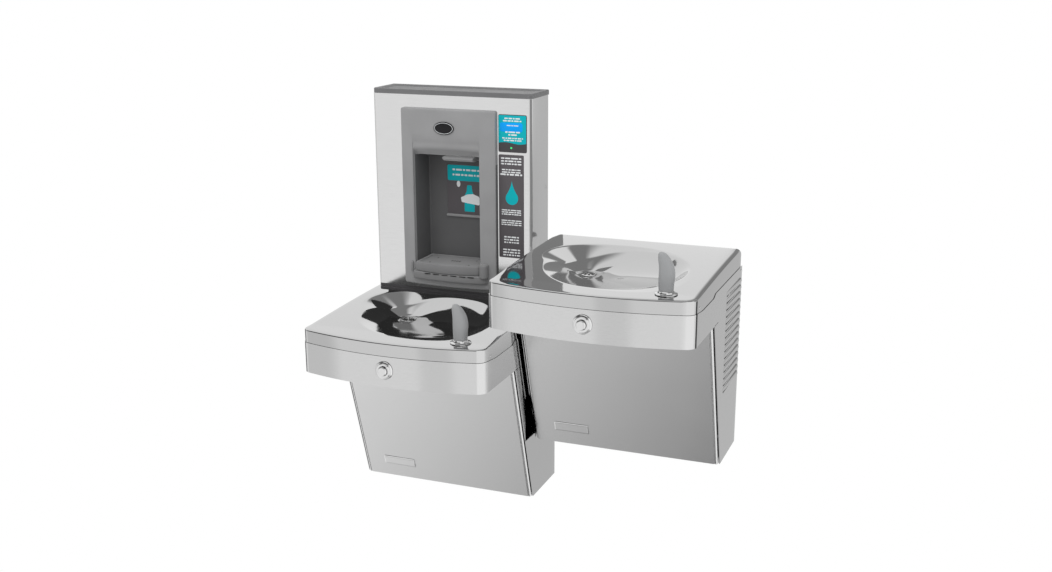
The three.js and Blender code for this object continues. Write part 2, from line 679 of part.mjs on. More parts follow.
function unit(prefix, x, deck, louvred, inletPath) {
  const group = new THREE.Group();
  group.position.set(x, 0, deck);
  const place = (name, body, material) => {
    const mesh = new THREE.Mesh(geometryOf(body), material);
    mesh.name = `${prefix}_${name}`;
    group.add(mesh);
  };
  place('back_frame', backFrame(), galvanised);
  place('shroud', shroud(louvred), brushedSteel);
  place('front_panel', frontPanel(), brushedSteel);
  place('soffit', soffit(), galvanised);
  place('bottom_cover', bottomCover(), galvanised);
  place('nameplate', nameplate(), brushedSteel);
  place('basin', basin(), polishedSteel);
  place('drain_strainer', drainStrainer(), chrome);
  place('drain_trap', drainTrap(), drainPipe);
  place('bubbler_base', bubblerBase(), chrome);
  place('bubbler_guard', bubblerGuard(), greyRubber);
  place('button_collar', buttonCollar(), chrome);
  place('button', button(), chrome);
  place('valve_body', valveBody(), blackPlastic);
  place('valve_lever', valveLever(), galvanised);
  const port = VALVE.halfWidth + GAP;
  const middle = (VALVE.front + VALVE.back) / 2;
  const bubblerPath = [
    [port, middle, VALVE.port], [port + 12, middle, VALVE.port], [70, -425, VALVE.port - 3], [125, -428, -62],
    [BUBBLER.x, BUBBLER.y, -42], [BUBBLER.x, BUBBLER.y, -22 - GAP],
  ];
  place('bubbler_tube', tube(bubblerPath, 4), tubing);
  const inletEnd = [[-62, -423, -72], [-port - 12, middle, VALVE.port], [-port, middle, VALVE.port]];
  place('inlet_tube', tube([...inletPath, ...inletEnd], 4), copper);
  fountain.add(group);
  return place;
}

const filterPort = FILTER.x - 34 - GAP;
unit('lower', 0, LOW_DECK, false,
  [[filterPort, FILTER.y, -170], [filterPort - 14, FILTER.y, -170], [35, -150, -130], [-20, -250, -86]]);
const placeUpper = unit('upper', PITCH, LOW_DECK + STEP, true,
  [[-158, -80, -122 + GAP], [-158, -80, -108], [-162, -115, -90], [-162, -260, -84], [-130, -370, -80]]);
placeUpper('compressor', compressor(), blackPaint);
placeUpper('condenser', condenser(), finMetal);
placeUpper('fan_shroud', fanShroud(), galvanised);
placeUpper('fan_motor', fanMotor(), motorGrey);
placeUpper('fan_blade', fanBlade(), finMetal);
placeUpper('chiller_tank', chillerTank(), insulation);
placeUpper('power_box', box([10, 100], [-70, -FRAME.sheet - GAP], [-460, -380]), galvanised);

const lowerExtras = new THREE.Group();
lowerExtras.position.set(0, 0, LOW_DECK);
fountain.add(lowerExtras);

function placeHere(name, body, material) {
  const mesh = new THREE.Mesh(geometryOf(body), material);
  mesh.name = name;
  lowerExtras.add(mesh);
}

placeHere('lower_filter_head', filterHead(), blackPlastic);
placeHere('lower_filter_cartridge', filterCartridge(), filterWhite);
placeHere('filler_wall_plate', fillerWallPlate(), galvanised);
placeHere('filler_body', fillerBody(), brushedSteel);
placeHere('filler_cap', fillerCap(), greyPlastic);
placeHere('filler_base_trim', fillerBaseTrim(), darkPlastic);
placeHere('filler_fascia', fillerFascia(), greyPlastic);
placeHere('filler_nozzle', fillerNozzle(), greyPlastic);
placeHere('filler_sensor_panel', fillerSensorPanel(), darkPlastic);
placeHere('filler_tray', fillerTray(), greyPlastic);
placeHere('filler_display', fillerDisplay(), tealPrint);
placeHere('filler_label_strip', fillerLabelStrip(), darkPlastic);
placeHere('filler_badge', fillerBadge(), blackPlastic);
placeHere('filler_status_light', fillerStatusLight(), lightGreen);
placeHere('filler_side_screw', fillerSideScrew(), chrome);
placeHere('filler_solenoid', solenoidValve(), blackPlastic);
placeHere('filler_fill_tube', tube([[20, -75, 372], [20, -75, 402], [20, -75, 431.6]], 5, 8, 4), tubing);
placeHere('filler_control_board', box([-30, 50], [-30, -10], [150, 260]), blackPlastic);
const trayDrainPath = [[-20, -90, 80], [-20, -88, 60], [-20, -60, 50], [-20, -6, 50]];
placeHere('filler_tray_drain', tube(trayDrainPath, 7, 8, 10), tubing);

export default fountain;
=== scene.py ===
import json
from math import atan, atan2, cos, degrees, exp, pi, radians, sin, sqrt, tan

import bmesh
import bpy
from mathutils import Matrix, Vector

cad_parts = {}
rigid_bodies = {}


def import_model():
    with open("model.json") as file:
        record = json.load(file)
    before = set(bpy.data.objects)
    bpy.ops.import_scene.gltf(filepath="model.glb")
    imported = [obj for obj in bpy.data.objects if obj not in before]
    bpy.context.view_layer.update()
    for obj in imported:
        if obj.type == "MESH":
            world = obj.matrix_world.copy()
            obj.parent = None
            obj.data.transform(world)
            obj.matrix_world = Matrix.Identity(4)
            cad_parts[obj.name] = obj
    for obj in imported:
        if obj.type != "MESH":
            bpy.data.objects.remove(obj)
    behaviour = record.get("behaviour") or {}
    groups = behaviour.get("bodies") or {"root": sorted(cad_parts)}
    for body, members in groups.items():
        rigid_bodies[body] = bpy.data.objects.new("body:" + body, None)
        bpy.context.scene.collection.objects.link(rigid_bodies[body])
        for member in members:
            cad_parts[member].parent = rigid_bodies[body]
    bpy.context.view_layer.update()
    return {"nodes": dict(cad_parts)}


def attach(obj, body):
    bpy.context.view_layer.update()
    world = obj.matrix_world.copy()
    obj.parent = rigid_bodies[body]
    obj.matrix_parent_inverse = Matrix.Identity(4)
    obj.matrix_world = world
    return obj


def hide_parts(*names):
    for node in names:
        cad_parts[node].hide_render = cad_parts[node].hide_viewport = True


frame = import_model()

MM = 0.001
LOW = Vector((0, 0, 255))  # middle of the low deck's back edge, in mm from the frame's origin
HIGH = Vector((478, 0, 416.5))

# Sizes in mm, from each unit's own deck height.
BASIN = {"half": 235, "depth": 494.5, "bow": 34.5, "corner": 26, "back_corner": 14, "back": -1}
SHROUD = {"half": 236.2, "depth": 495.7, "bow": 34.5, "corner": 27, "back_corner": 1.5, "back": -0.3}
BAND, BOTTOM = -105.5, -481
CROWN = {"height": 13, "front": -420, "back": -40, "power": 1.6}
BOWL = {"x": 2, "y": -265, "radius": 165}
DRAIN = {"x": -89, "y": -192, "z": -35, "radius": 20, "seat": 30, "wall": 30}
BUBBLER = {"x": 163, "y": -428}
PANEL = {"foot": 166.2, "head": 282.5, "flat": 225.5, "roll": 7, "hem": 18, "top": -100}
SLOPE = (PANEL["head"] - PANEL["foot"]) / (BAND - BOTTOM)
LOUVRE = {"count": 15, "pitch": 16.7, "first": -59.5, "front": -170, "back": -20, "proud": 4.2}
BUTTON_Z = -64.5
TOWER = {"left": -209.5, "right": 215, "depth": 114.6, "corner": 7, "foot": 13.4, "body": 31.3,
         "top": 520.7, "cap": 533}
FASCIA = {"left": -126, "right": 127, "edge": 131, "bow": 12, "bottom": 45, "top": 490, "roll": 3.5}
ALCOVE = {"left": -93, "right": 86, "floor": 81.5, "ceiling": 372, "back": -43.5}
LIP = {"back": -95, "radius": 46, "start": 432}  # the curved nose over the alcove's mouth
RECESSED = {"front": -125, "middle": 227, "half": 146}  # where the alcove's painted shade begins: its faces get a darker copy of the grey moulding
LABELS = {"left": 129.5, "right": 203, "strip": 195}


# ---------------- meshes
def build(name, verts, faces, at=(0, 0, 0), smooth=32):
    """A mesh object from points in mm, with its doubled points joined and its faces turned outwards."""
    mesh = bpy.data.meshes.new(name)
    mesh.from_pydata([tuple(c * MM for c in v) for v in verts], [], faces)
    bm = bmesh.new()
    bm.from_mesh(mesh)
    bmesh.ops.remove_doubles(bm, verts=bm.verts, dist=2e-6)
    bmesh.ops.dissolve_degenerate(bm, edges=bm.edges, dist=1e-6)
    bmesh.ops.recalc_face_normals(bm, faces=bm.faces)
    bm.to_mesh(mesh)
    bm.free()
    return stand(name, mesh, at, smooth)


def stand(name, mesh, at, smooth=32):
    for polygon in mesh.polygons:
        polygon.use_smooth = True
    mesh.set_sharp_from_angle(angle=radians(smooth))
    obj = bpy.data.objects.new(name, mesh)
    bpy.context.scene.collection.objects.link(obj)
    obj.location = Vector(at) * MM
    return obj


def loft(rings, closed=True, caps=(False, False)):
    count = len(rings[0])
    verts = [p for ring in rings for p in ring]
    faces = []
    for r in range(len(rings) - 1):
        here, there = r * count, (r + 1) * count
        for i in range(count if closed else count - 1):
            j = (i + 1) % count
            faces.append((here + i, here + j, there + j, there + i))
    if caps[0]:
        faces.append(tuple(reversed(range(count))))
    if caps[1]:
        faces.append(tuple(range((len(rings) - 1) * count, len(rings) * count)))
    return verts, faces


def together(*parts):
    verts, faces = [], []
    for part_verts, part_faces in parts:
        shift = len(verts)
        verts += list(part_verts)
        faces += [tuple(shift + i for i in face) for face in part_faces]
    return verts, faces


def moved(part, by):
    verts, faces = part
    return [tuple(a + b for a, b in zip(v, by)) for v in verts], faces


def level(outline, z):
    """An outline seen from above, as a ring at one height."""
    return [(x, y, z) for x, y in outline]


def upright(outline, y):
    """An outline seen from the front, as a ring at one depth."""
    return [(x, y, z) for x, z in outline]


AXES = {"x": lambda a, b, h: (h, a, b), "y": lambda a, b, h: (a, h, b), "z": lambda a, b, h: (a, b, h)}


def fillet(points, radii, steps=5, closed=True):
    """A polygon with its corners rounded. A radius of 0 leaves a corner sharp."""
    rounded = []
    for i, point in enumerate(points):
        radius = radii[i] if isinstance(radii, (list, tuple)) else radii
        if radius == 0 or (not closed and i in (0, len(points) - 1)):
            rounded.append(tuple(point))
            continue
        corner = Vector(point)
        before = Vector(points[i - 1]) - corner
        after = Vector(points[(i + 1) % len(points)]) - corner
        half = before.angle(after) / 2
        reach = min(radius / tan(half), before.length * 0.49, after.length * 0.49)
        before.normalize()
        after.normalize()
        centre = corner + (before + after).normalized() * (reach / cos(half))
        start, end = corner + before * reach - centre, corner + after * reach - centre
        turn = start.angle(end)
        for k in range(steps + 1):
            t = k / steps
            arm = (start * sin((1 - t) * turn) + end * sin(t * turn)) / sin(turn)
            rounded.append(tuple(centre + arm))
    return rounded


def turned(profile, axis="z", sides=72, centre=(0, 0)):
    """A turned body. The profile's points are (radius, height along the axis)."""
    angles = [2 * pi * i / sides for i in range(sides)]
    place = AXES[axis]
    rings = [
        [place(centre[0] + r * cos(a), centre[1] + r * sin(a), h) for a in angles]
        for r, h in profile
    ]
    return loft(rings)


def rect(x0, x1, z0, z1, radius, inset=0.0, steps=6):
    """A rounded rectangle, anticlockwise from the lower left corner."""
    x0, x1, z0, z1 = x0 + inset, x1 - inset, z0 + inset, z1 - inset
    radius = max(radius - inset, 0.2)
    points = []
    for cx, cz, start in (
        (x0 + radius, z0 + radius, 180), (x1 - radius, z0 + radius, 270),
        (x1 - radius, z1 - radius, 0), (x0 + radius, z1 - radius, 90),
    ):
        for k in range(steps + 1):
            a = radians(start + 90 * k / steps)
            points.append((cx + radius * cos(a), cz + radius * sin(a)))
    return points


def slab(outline_at, low, high, edge, axis="z", both=False, steps=4):
    """A flat body whose high face has a rounded edge, and its low one too if both.

    outline_at(inset) gives its outline, that far in from its largest."""
    place = AXES[axis]
    sign = 1 if high > low else -1
    levels = []
    for k in range(steps + 1):
        a = radians(90 * k / steps)
        levels.append((edge * (1 - cos(a)), high - sign * edge * (1 - sin(a))))
    if both:
        start = [(inset, low + high - h) for inset, h in reversed(levels)]
    else:
        start = [(0, low)]
    rings = [[place(a, b, h) for a, b in outline_at(inset)] for inset, h in start + levels]
    return loft(rings, caps=(True, True))


def unit_outline(size, inset=0.0):
    """A unit seen from above: rounded corners and a bowed front, anticlockwise from the back left."""
    w, d = size["half"] - inset, size["depth"] - inset
    bow, back = size["bow"], size["back"] - inset
    front, rear = max(size["corner"] - inset, 0.6), max(size["back_corner"] - inset, 0.4)
    tilt = atan(2 * bow / w)
    side = -(d - bow) + front * tan((pi / 2 - tilt) / 2)
    bow_end = w - front + front * sin(tilt)

    def arc(cx, cy, r, a0, a1, steps):
        return [(cx + r * cos(a0 + (a1 - a0) * k / steps), cy + r * sin(a0 + (a1 - a0) * k / steps))
                for k in range(steps + 1)]

    flank = [k / 24 for k in range(1, 24)]
    points = arc(-w + rear, back - rear, rear, pi / 2, pi, 6)
    points += [(-w, back - rear + (side - back + rear) * t) for t in flank]
    points += arc(-w + front, side, front, pi, 1.5 * pi - tilt, 12)
    points += [(x, -(d - bow * (x / w) ** 2)) for x in (bow_end * (-1 + k / 20) for k in range(1, 40))]
    points += arc(w - front, side, front, 1.5 * pi + tilt, 2 * pi, 12)
    points += [(w, back - rear + (side - back + rear) * (1 - t)) for t in flank]
    points += arc(w - rear, back - rear, rear, 0, pi / 2, 6)
    points += [((w - rear) * (1 - k / 12), back) for k in range(1, 24)]
    return points


def clamp01(t):
    return min(1.0, max(0.0, t))


def ease(t):
    t = clamp01(t)
    return t * t * (3 - 2 * t)


def deck_height(y):
    t = clamp01((y - CROWN["front"]) / (CROWN["back"] - CROWN["front"]))
    return CROWN["height"] * (1 - (1 - t) ** CROWN["power"])


def seam_height(x, y):
    """Where the basin's skirt ends: it steps up behind a notch half way along each side."""
    if abs(x) < BASIN["half"] - 6:
        return -31.0 if y < -200 else -29.0
    if y < -282:
        return -31 - 5.5 * ease((y + 450) / 60)
    return -29.0


# ---------------- materials
def new_material(name, colour, roughness, metallic=0.0, **sockets):
    material = bpy.data.materials.new(name)
    material.use_nodes = True
    shader = material.node_tree.nodes["Principled BSDF"]
    shader.inputs["Base Color"].default_value = (*colour, 1)
    shader.inputs["Roughness"].default_value = roughness
    shader.inputs["Metallic"].default_value = metallic
    for socket, value in sockets.items():
        shader.inputs[socket.replace("_", " ").title().replace("Ior", "IOR")].default_value = value
    return material


def shader_input(material, name):
    return material.node_tree.nodes["Principled BSDF"].inputs[name]


def node_in(material, kind, **values):
    """A new node of a material, with its inputs set by name."""
    node = material.node_tree.nodes.new("ShaderNode" + kind)
    for socket, value in values.items():
        node.inputs[socket.replace("_", " ").title()].default_value = value
    return node


def noise(material, scale, detail=3.0, stretch=(1, 1, 1)):
    """A noise texture's output, in object space and in metres."""
    links = material.node_tree.links
    place = node_in(material, "TexCoord")
    mapping = node_in(material, "Mapping", scale=stretch)
    texture = node_in(material, "TexNoise", scale=scale, detail=detail)
    links.new(place.outputs["Object"], mapping.inputs["Vector"])
    links.new(mapping.outputs["Vector"], texture.inputs["Vector"])
    return texture.outputs["Fac"]


def vary_roughness(material, factor, low, high):
    spread = node_in(material, "MapRange", from_min=0.3, from_max=0.7, to_min=low, to_max=high)
    material.node_tree.links.new(factor, spread.inputs["Value"])
    material.node_tree.links.new(spread.outputs["Result"], shader_input(material, "Roughness"))


def vary_colour(material, factor, dark, light):
    colours = node_in(material, "ValToRGB")
    for element, position, colour in zip(colours.color_ramp.elements, (0.3, 0.7), (dark, light)):
        element.position = position
        element.color = (*colour, 1)
    material.node_tree.links.new(factor, colours.inputs["Fac"])
    material.node_tree.links.new(colours.outputs["Color"], shader_input(material, "Base Color"))


def bump(material, factor, strength, distance):
    relief = node_in(material, "Bump", strength=strength, distance=distance)
    material.node_tree.links.new(factor, relief.inputs["Height"])
    material.node_tree.links.new(relief.outputs["Normal"], shader_input(material, "Normal"))


def steel(name, tone, roughness, spread, grain, stretch, strength):
    """Steel with a fine directional grain, and patches that are a little duller than the rest."""
    material = new_material(name, (tone, tone, tone * 1.01), roughness, 1.0)
    vary_roughness(material, noise(material, 9, 4, (1, 1, 1)), roughness - spread, roughness + spread)
    vary_colour(material, noise(material, grain, 2, stretch), (tone * 0.97,) * 3, (tone * 1.02,) * 3)
    if strength:
        bump(material, noise(material, grain, 2, stretch), strength, 0.00002)
    return material


def plastic(name, colour, roughness, grain=900.0, depth=0.15, **sockets):
    """Moulded plastic or rubber with a fine texture."""
    material = new_material(name, colour, roughness, **sockets)
    light = [min(1, c * 1.05) for c in colour]
    vary_colour(material, noise(material, 14, 4), [c * 0.95 for c in colour], light)
    vary_roughness(material, noise(material, 30, 3), roughness - 0.04, roughness + 0.04)
    bump(material, noise(material, grain, 2), depth, 0.0001)
    return material


POLISHED = steel("polished_steel", 0.56, 0.06, 0.012, 260, (1, 14, 14), 0.0)
SATIN = steel("satin_steel", 0.68, 0.24, 0.025, 900, (1, 1, 0.03), 0.04)
WRAP = steel("filler_steel", 0.68, 0.12, 0.015, 900, (0.03, 1, 1), 0.02)
BRIGHT = steel("bright_wrapper_steel", 0.62, 0.11, 0.015, 900, (0.03, 1, 1), 0.02)
GALVANISED = steel("galvanised_steel", 0.42, 0.45, 0.10, 70, (1, 1, 1), 0.2)
CHROME = steel("chrome", 0.70, 0.05, 0.01, 300, (1, 1, 1), 0.0)
FINS = steel("fin_aluminium", 0.60, 0.35, 0.05, 200, (1, 1, 20), 0.1)
COPPER = new_material("copper_pipe", (0.72, 0.36, 0.20), 0.28, 1.0)
vary_colour(COPPER, noise(COPPER, 40), (0.55, 0.26, 0.14), (0.78, 0.42, 0.25))
vary_roughness(COPPER, noise(COPPER, 60), 0.22, 0.42)
GREY = plastic("grey_moulding", (0.265, 0.265, 0.268), 0.45, specular_ior_level=0.2)
LID = plastic("lid_moulding", (0.135, 0.135, 0.138), 0.45)
# The grey moulding made darker and glossless: painted shade for the inside of the alcove.
ALCOVE_SHADE_GREY = plastic("grey_moulding_painted_shade", (0.125, 0.125, 0.127), 0.5, specular_ior_level=0.0)
TRAY_GREY = plastic("tray_moulding", (0.20, 0.20, 0.202), 0.5, specular_ior_level=0.1)
DARK_GREY = plastic("dark_grey_moulding", (0.062, 0.060, 0.063), 0.45, specular_ior_level=0.2)
BLACK = plastic("black_moulding", (0.009, 0.009, 0.010), 0.28, depth=0.05, specular_ior_level=0.2)
RUBBER = plastic("grey_rubber", (0.27, 0.275, 0.28), 0.55, grain=500, sheen_weight=0.15)
WHITE = plastic("white_moulding", (0.80, 0.80, 0.78), 0.30, depth=0.05)
PIPE = plastic("white_pipe", (0.72, 0.72, 0.70), 0.42)
FOAM = plastic("black_foam", (0.02, 0.02, 0.021), 0.85, grain=320, depth=0.8)
PAINT = plastic("black_paint", (0.018, 0.018, 0.020), 0.30, grain=400, depth=0.1)
MOTOR = plastic("grey_paint", (0.16, 0.17, 0.18), 0.42, grain=300, depth=0.1)
TEAL = plastic("teal_print", (0.0, 0.40, 0.45), 0.35, depth=0.03, specular_ior_level=0.15)
BLUE = plastic("blue_print", (0.0, 0.33, 0.85), 0.35, depth=0.03, specular_ior_level=0.15)
PRINT = plastic("white_print", (0.72, 0.74, 0.75), 0.45, depth=0.03)
LABEL = plastic("dark_film", (0.098, 0.090, 0.096), 0.40, depth=0.03, specular_ior_level=0.15)
# Flat black for the shade inside slots and holes: painted shade.
HOLE_SHADOW = plastic("shadow_black", (0.006, 0.006, 0.006), 0.7, depth=0.05)
GREEN = plastic("green_lens", (0.05, 0.62, 0.18), 0.25, depth=0.03,
                emission_color=(0.05, 0.9, 0.25, 1), emission_strength=0.35)


def piece(obj, material, replaces=(), body="fixture"):
    obj.data.materials.clear()
    obj.data.materials.append(material)
    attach(obj, body)
    if replaces:
        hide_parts(*replaces)
    return obj


def add(name, part, material, replaces=(), body="fixture", at=LOW, smooth=32):
    """Builds a piece from its points and faces, and gives it its finish and its body."""
    return piece(build(name, *part, at=at, smooth=smooth), material, replaces, body)


def apply_modifiers(obj, smooth=32):
    graph = bpy.context.evaluated_depsgraph_get()
    result = bpy.data.meshes.new_from_object(obj.evaluated_get(graph))
    obj.modifiers.clear()
    obj.data = result
    obj.data.set_sharp_from_angle(angle=radians(smooth))


def thicken(obj, thickness, smooth=32):
    """Gives a sheet its thickness, inwards, with crisp cut edges."""
    modifier = obj.modifiers.new("sheet", "SOLIDIFY")
    modifier.thickness = thickness * MM
    modifier.offset = -1
    apply_modifiers(obj, smooth)
    return obj


def subtract(obj, cutter):
    """Takes cutter's shape out of obj, and removes cutter."""
    modifier = obj.modifiers.new("cut", "BOOLEAN")
    modifier.operation = "DIFFERENCE"
    modifier.solver = "EXACT"
    modifier.object = cutter
    apply_modifiers(obj)
    bpy.data.objects.remove(cutter)
    return obj


# ---------------- basin
def swell(angle, middle, spread):
    """A smooth bump of height 1 round a compass direction, in degrees."""
    away = (degrees(angle) - middle + 900) % 360 - 180
    return exp(-(away / spread) ** 2)


def lip_width(angle):
    """How far the deck's roll into the bowl reaches: wide at the back left and at the front right."""
    return 4 + 50 * swell(angle, 147, 28) + 24 * swell(angle, 100, 40) + 32 * swell(angle, 316, 37)


def dish_line(x, y):
    """One straight line up the dish, from the drain towards a point of the rim: its reach and heights."""
    angle = atan2(y - BOWL["y"], x - BOWL["x"])
    drain = Vector((DRAIN["x"], DRAIN["y"]))
    radius = BOWL["radius"]
    edge = Vector((BOWL["x"] + radius * cos(angle), BOWL["y"] + radius * sin(angle)))
    length = (edge - drain).length
    way = (edge - drain).normalized()
    lip = lip_width(angle)
    end = drain + way * (length + lip)
    deck = deck_height(end.y)
    slope = (deck - DRAIN["z"]) / (length - DRAIN["seat"] + lip / 2)
    wall = 0.45 * swell(angle, 12, 45)  # towards the right the floor stays low

    def sharp(reach):
        if reach > length + lip:
            return deck_height(drain.y + way.y * reach)
        if reach > length:
            start = DRAIN["z"] + (length - DRAIN["seat"]) * slope
            return start + (deck - start) * (reach - length) / lip
        rise = max(reach - DRAIN["seat"], 0) * slope
        bend = min(1, (length - reach) / DRAIN["wall"]) * min(1, max(reach - DRAIN["seat"], 0) / 60)
        return DRAIN["z"] + rise * (1 - wall * bend)

    def point(reach, soft=4.0):
        at = drain + way * reach
        height = sum(sharp(reach + soft * k / 4) for k in range(-4, 5)) / 9
        return at.x, at.y, height

    return point, length, lip


def basin_mesh():
    """A crowned deck with a dish that runs straight down to a drain at its back left."""
    rim = unit_outline(BASIN)
    lines = [dish_line(x, y) for x, y in rim]

    def drain_ring(radius, z):
        return [(*point(radius)[:2], z) for point, length, lip in lines]

    rings = [drain_ring(14, DRAIN["z"] - 3), drain_ring(DRAIN["radius"], DRAIN["z"] - 3),
             drain_ring(DRAIN["radius"] + 0.8, DRAIN["z"] - 0.4), drain_ring(DRAIN["seat"] - 6, DRAIN["z"])]
    for k in range(29):
        t = k / 28
        start = DRAIN["seat"] - 5
        rings.append([point(start + (length - 6 - start) * t) for point, length, lip in lines])
    for k in range(1, 23):
        t = k / 22
        rings.append([point(length - 6 + (lip + 12) * t) for point, length, lip in lines])
    flat_edge = unit_outline(BASIN, 13)
    outer = rings[-1]
    for k in range(1, 11):
        t = k / 10
        ring = []
        for (ox, oy, _), (fx, fy) in zip(outer, flat_edge):
            x, y = ox + (fx - ox) * t, oy + (fy - oy) * t
            ring.append((x, y, deck_height(y)))
        rings.append(ring)
    for k in range(1, 9):
        a = radians(90 * (k / 8))
        ring = []
        for (fx, fy), (x, y) in zip(flat_edge, rim):
            radius = 3.6 + 8.4 * ease((y + 60) / 50)
            out = 1 - radius / 13 * (1 - sin(a))
            z = deck_height(y) - radius * (1 - cos(a))
            ring.append((fx + (x - fx) * out, fy + (y - fy) * out, z))
        rings.append(ring)
    for inset, hem in ((0, 0), (1.6, 0), (1.6, 12)):
        rings.append([(x, y, seam_height(x, y) + hem) for x, y in unit_outline(BASIN, inset)])
    return loft(rings, caps=(True, False))


def strainer_mesh():
    """A pressed dome with a ring of petal-shaped slots round a screw."""
    sides, cuts = 96, 8
    radii = [3.2, 4.6, 6, 8, 10, 12, 14, 15.6, 17.2, 19]

    def height(r):
        return 1.6 * (1 - (r / 19) ** 2) + 0.3

    verts, faces = [], []
    angles = [2 * pi * i / sides for i in range(sides)]
    for r in radii:
        verts += [(r * cos(a), r * sin(a), height(r)) for a in angles]
    for k in range(len(radii) - 1):
        middle = (radii[k] + radii[k + 1]) / 2
        for i in range(sides):
            j = (i + 1) % sides
            turn = (i + 0.5) / sides * cuts % 1
            width = 0.40 * sin(pi * clamp01((middle - 5) / 11)) ** 0.5 if 5 < middle < 16 else 0
            if abs(turn - 0.5) > width:
                faces.append((k * sides + i, k * sides + j, (k + 1) * sides + j, (k + 1) * sides + i))
    screw = turned([(0, 2.4), (1.6, 2.3), (3.0, 1.7), (3.6, 0.8), (3.6, 0.2)], sides=24)
    rim = turned([(19, 0.3), (19.3, 0.1), (19.3, -1.2)], sides=sides)
    return together((verts, faces), screw, rim)


# ---------------- cabinet
def panel_y(z):
    return -(PANEL["foot"] + SLOPE * (z - BOTTOM))


def shroud_object(name, at, louvred):
    """The wrapper: a band round the front, and side panels that lean back below it."""
    outline = unit_outline(SHROUD)
    levels = [BAND, -200, -300, -400, BOTTOM]
    gap = 0.6
    rings = [[(x, y, seam_height(x, y) - gap) for x, y in outline]]
    rings += [level(outline, -52)]
    rings += [level(outline, z) for z in levels]
    verts, faces = loft(rings)
    mesh = bpy.data.meshes.new(name)
    mesh.from_pydata([tuple(c * MM for c in v) for v in verts], [], faces)
    bm = bmesh.new()
    bm.from_mesh(mesh)
    bmesh.ops.recalc_face_normals(bm, faces=bm.faces)

    def split(co, normal, faces_of=lambda face: True):
        chosen = [f for f in bm.faces if faces_of(f)]
        edges = {e for f in chosen for e in f.edges}
        corners = {v for f in chosen for v in f.verts}
        bmesh.ops.bisect_plane(bm, geom=chosen + list(edges) + list(corners), plane_co=Vector(co) * MM,
                               plane_no=Vector(normal), dist=1e-7)

    def centre(face):
        return face.calc_center_median() / MM

    setback = 6.0
    split((0, panel_y(0) + setback, 0), (0, 1, SLOPE))
    gone = [f for f in bm.faces if centre(f).z < BAND and centre(f).y < panel_y(centre(f).z) + setback]
    back = [f for f in bm.faces if centre(f).y > -2 and abs(centre(f).x) < 228]
    bmesh.ops.delete(bm, geom=gone + back, context="FACES")

    def slit(x_side, y0, y1, z0, z1):
        def near(face):
            c = centre(face)
            return c.x * x_side > 230
        for z in (z0, z1):
            split((0, 0, z), (0, 0, 1), near)
        for y in (y0, y1):
            split((0, y, 0), (0, 1, 0), near)
        holes = [f for f in bm.faces if near(f) and y0 < centre(f).y < y1 and z0 < centre(f).z < z1]
        bmesh.ops.delete(bm, geom=holes, context="FACES")

    for side in (-1, 1):
        slit(side, panel_y(BAND) + setback, panel_y(BAND) + setback + 34, BAND - 0.6, BAND + 1.0)
    if louvred:
        for i in range(LOUVRE["count"]):
            z = LOUVRE["first"] - i * LOUVRE["pitch"]
            slit(1, LOUVRE["front"] + 8, LOUVRE["back"] + 3, z - 8.5, z + 2)
    bm.to_mesh(mesh)
    bm.free()
    return thicken(stand(name, mesh, at, 35), 1.4)


def louvres_mesh():
    """Pressed hoods that open downwards and towards the wall."""
    front, back, proud = LOUVRE["front"], LOUVRE["back"], LOUVRE["proud"]
    side = SHROUD["half"] + 0.02
    parts = []
    for i in range(LOUVRE["count"]):
        z = LOUVRE["first"] - i * LOUVRE["pitch"]
        rings = []
        for k in range(15):
            t = k / 14
            y = front + (back - front) * t
            out = proud * (0.25 + 0.75 * t) * ease(t * 9)
            section = [(side, y, z + 4.6)]
            for a in (15, 35, 55, 75, 90):
                bend = radians(a)
                section.append((side + out * sin(bend), y, z + 4.6 - 6.0 * (1 - cos(bend))))
            section.append((side + out, y, z - 4.0))
            rings.append(section)
        parts.append(loft(rings, closed=False))
    return together(*parts)


def front_panel_mesh():
    """A pan with rolled side edges and a pressed line beside each, leaning back towards the bottom."""
    flat, roll, hem = PANEL["flat"], PANEL["roll"], PANEL["hem"]
    half = [(0, 0)] + [(flat - 1.2, 0), (flat - 0.6, 2.2), (flat + 0.9, 2.2), (flat + 1.3, 0.25)]
    for k in range(1, 9):
        a = radians(90 * k / 8)
        half.append((flat + 1.2 + (roll - 1.2) * sin(a), 0.2 + roll * (1 - cos(a))))
    half.append((flat + roll, hem))
    across = [(-x, d) for x, d in reversed(half)] + half[1:]
    rings = []
    for z in (BOTTOM, BOTTOM + 0.8, -400, -300, -200, PANEL["top"]):
        rings.append([(x, panel_y(z) + d, z) for x, d in across])
    foot = [(x, y + 14, z) for x, y, z in rings[0]]
    return loft([foot] + rings, closed=False)


def on_panel(x, z, out):
    return x, panel_y(z) - out, z


def nameplate_mesh(x0=-176, x1=-87, z0=-445, z1=-420):
    rings = []
    for inset, out in ((0, 0.3), (0, 1.0), (0.15, 1.25), (0.5, 1.4), (2.2, 1.4), (2.5, 1.15), (3.2, 1.15),
                       (3.5, 1.4)):
        rings.append([on_panel(x, z, out) for x, z in rect(x0, x1, z0, z1, 3, inset)])
    return loft(rings, caps=(True, True))


# ---------------- bubbler, guard and button
def bubbler_base_mesh():
    profile = fillet(
        [(8, -2), (8, 0.6), (24.5, 0.6), (24.5, 2.2), (18.5, 3.6), (17.5, 6.2), (15.2, 8.6), (11, 8.6),
         (11, 28), (8, 32), (0, 32)],
        [0, 0, 0.4, 0.8, 2.0, 1.4, 1.2, 0.6, 1.5, 1.2, 0], steps=5, closed=False)
    return moved(turned(profile, sides=64), (BUBBLER["x"], BUBBLER["y"], 0))


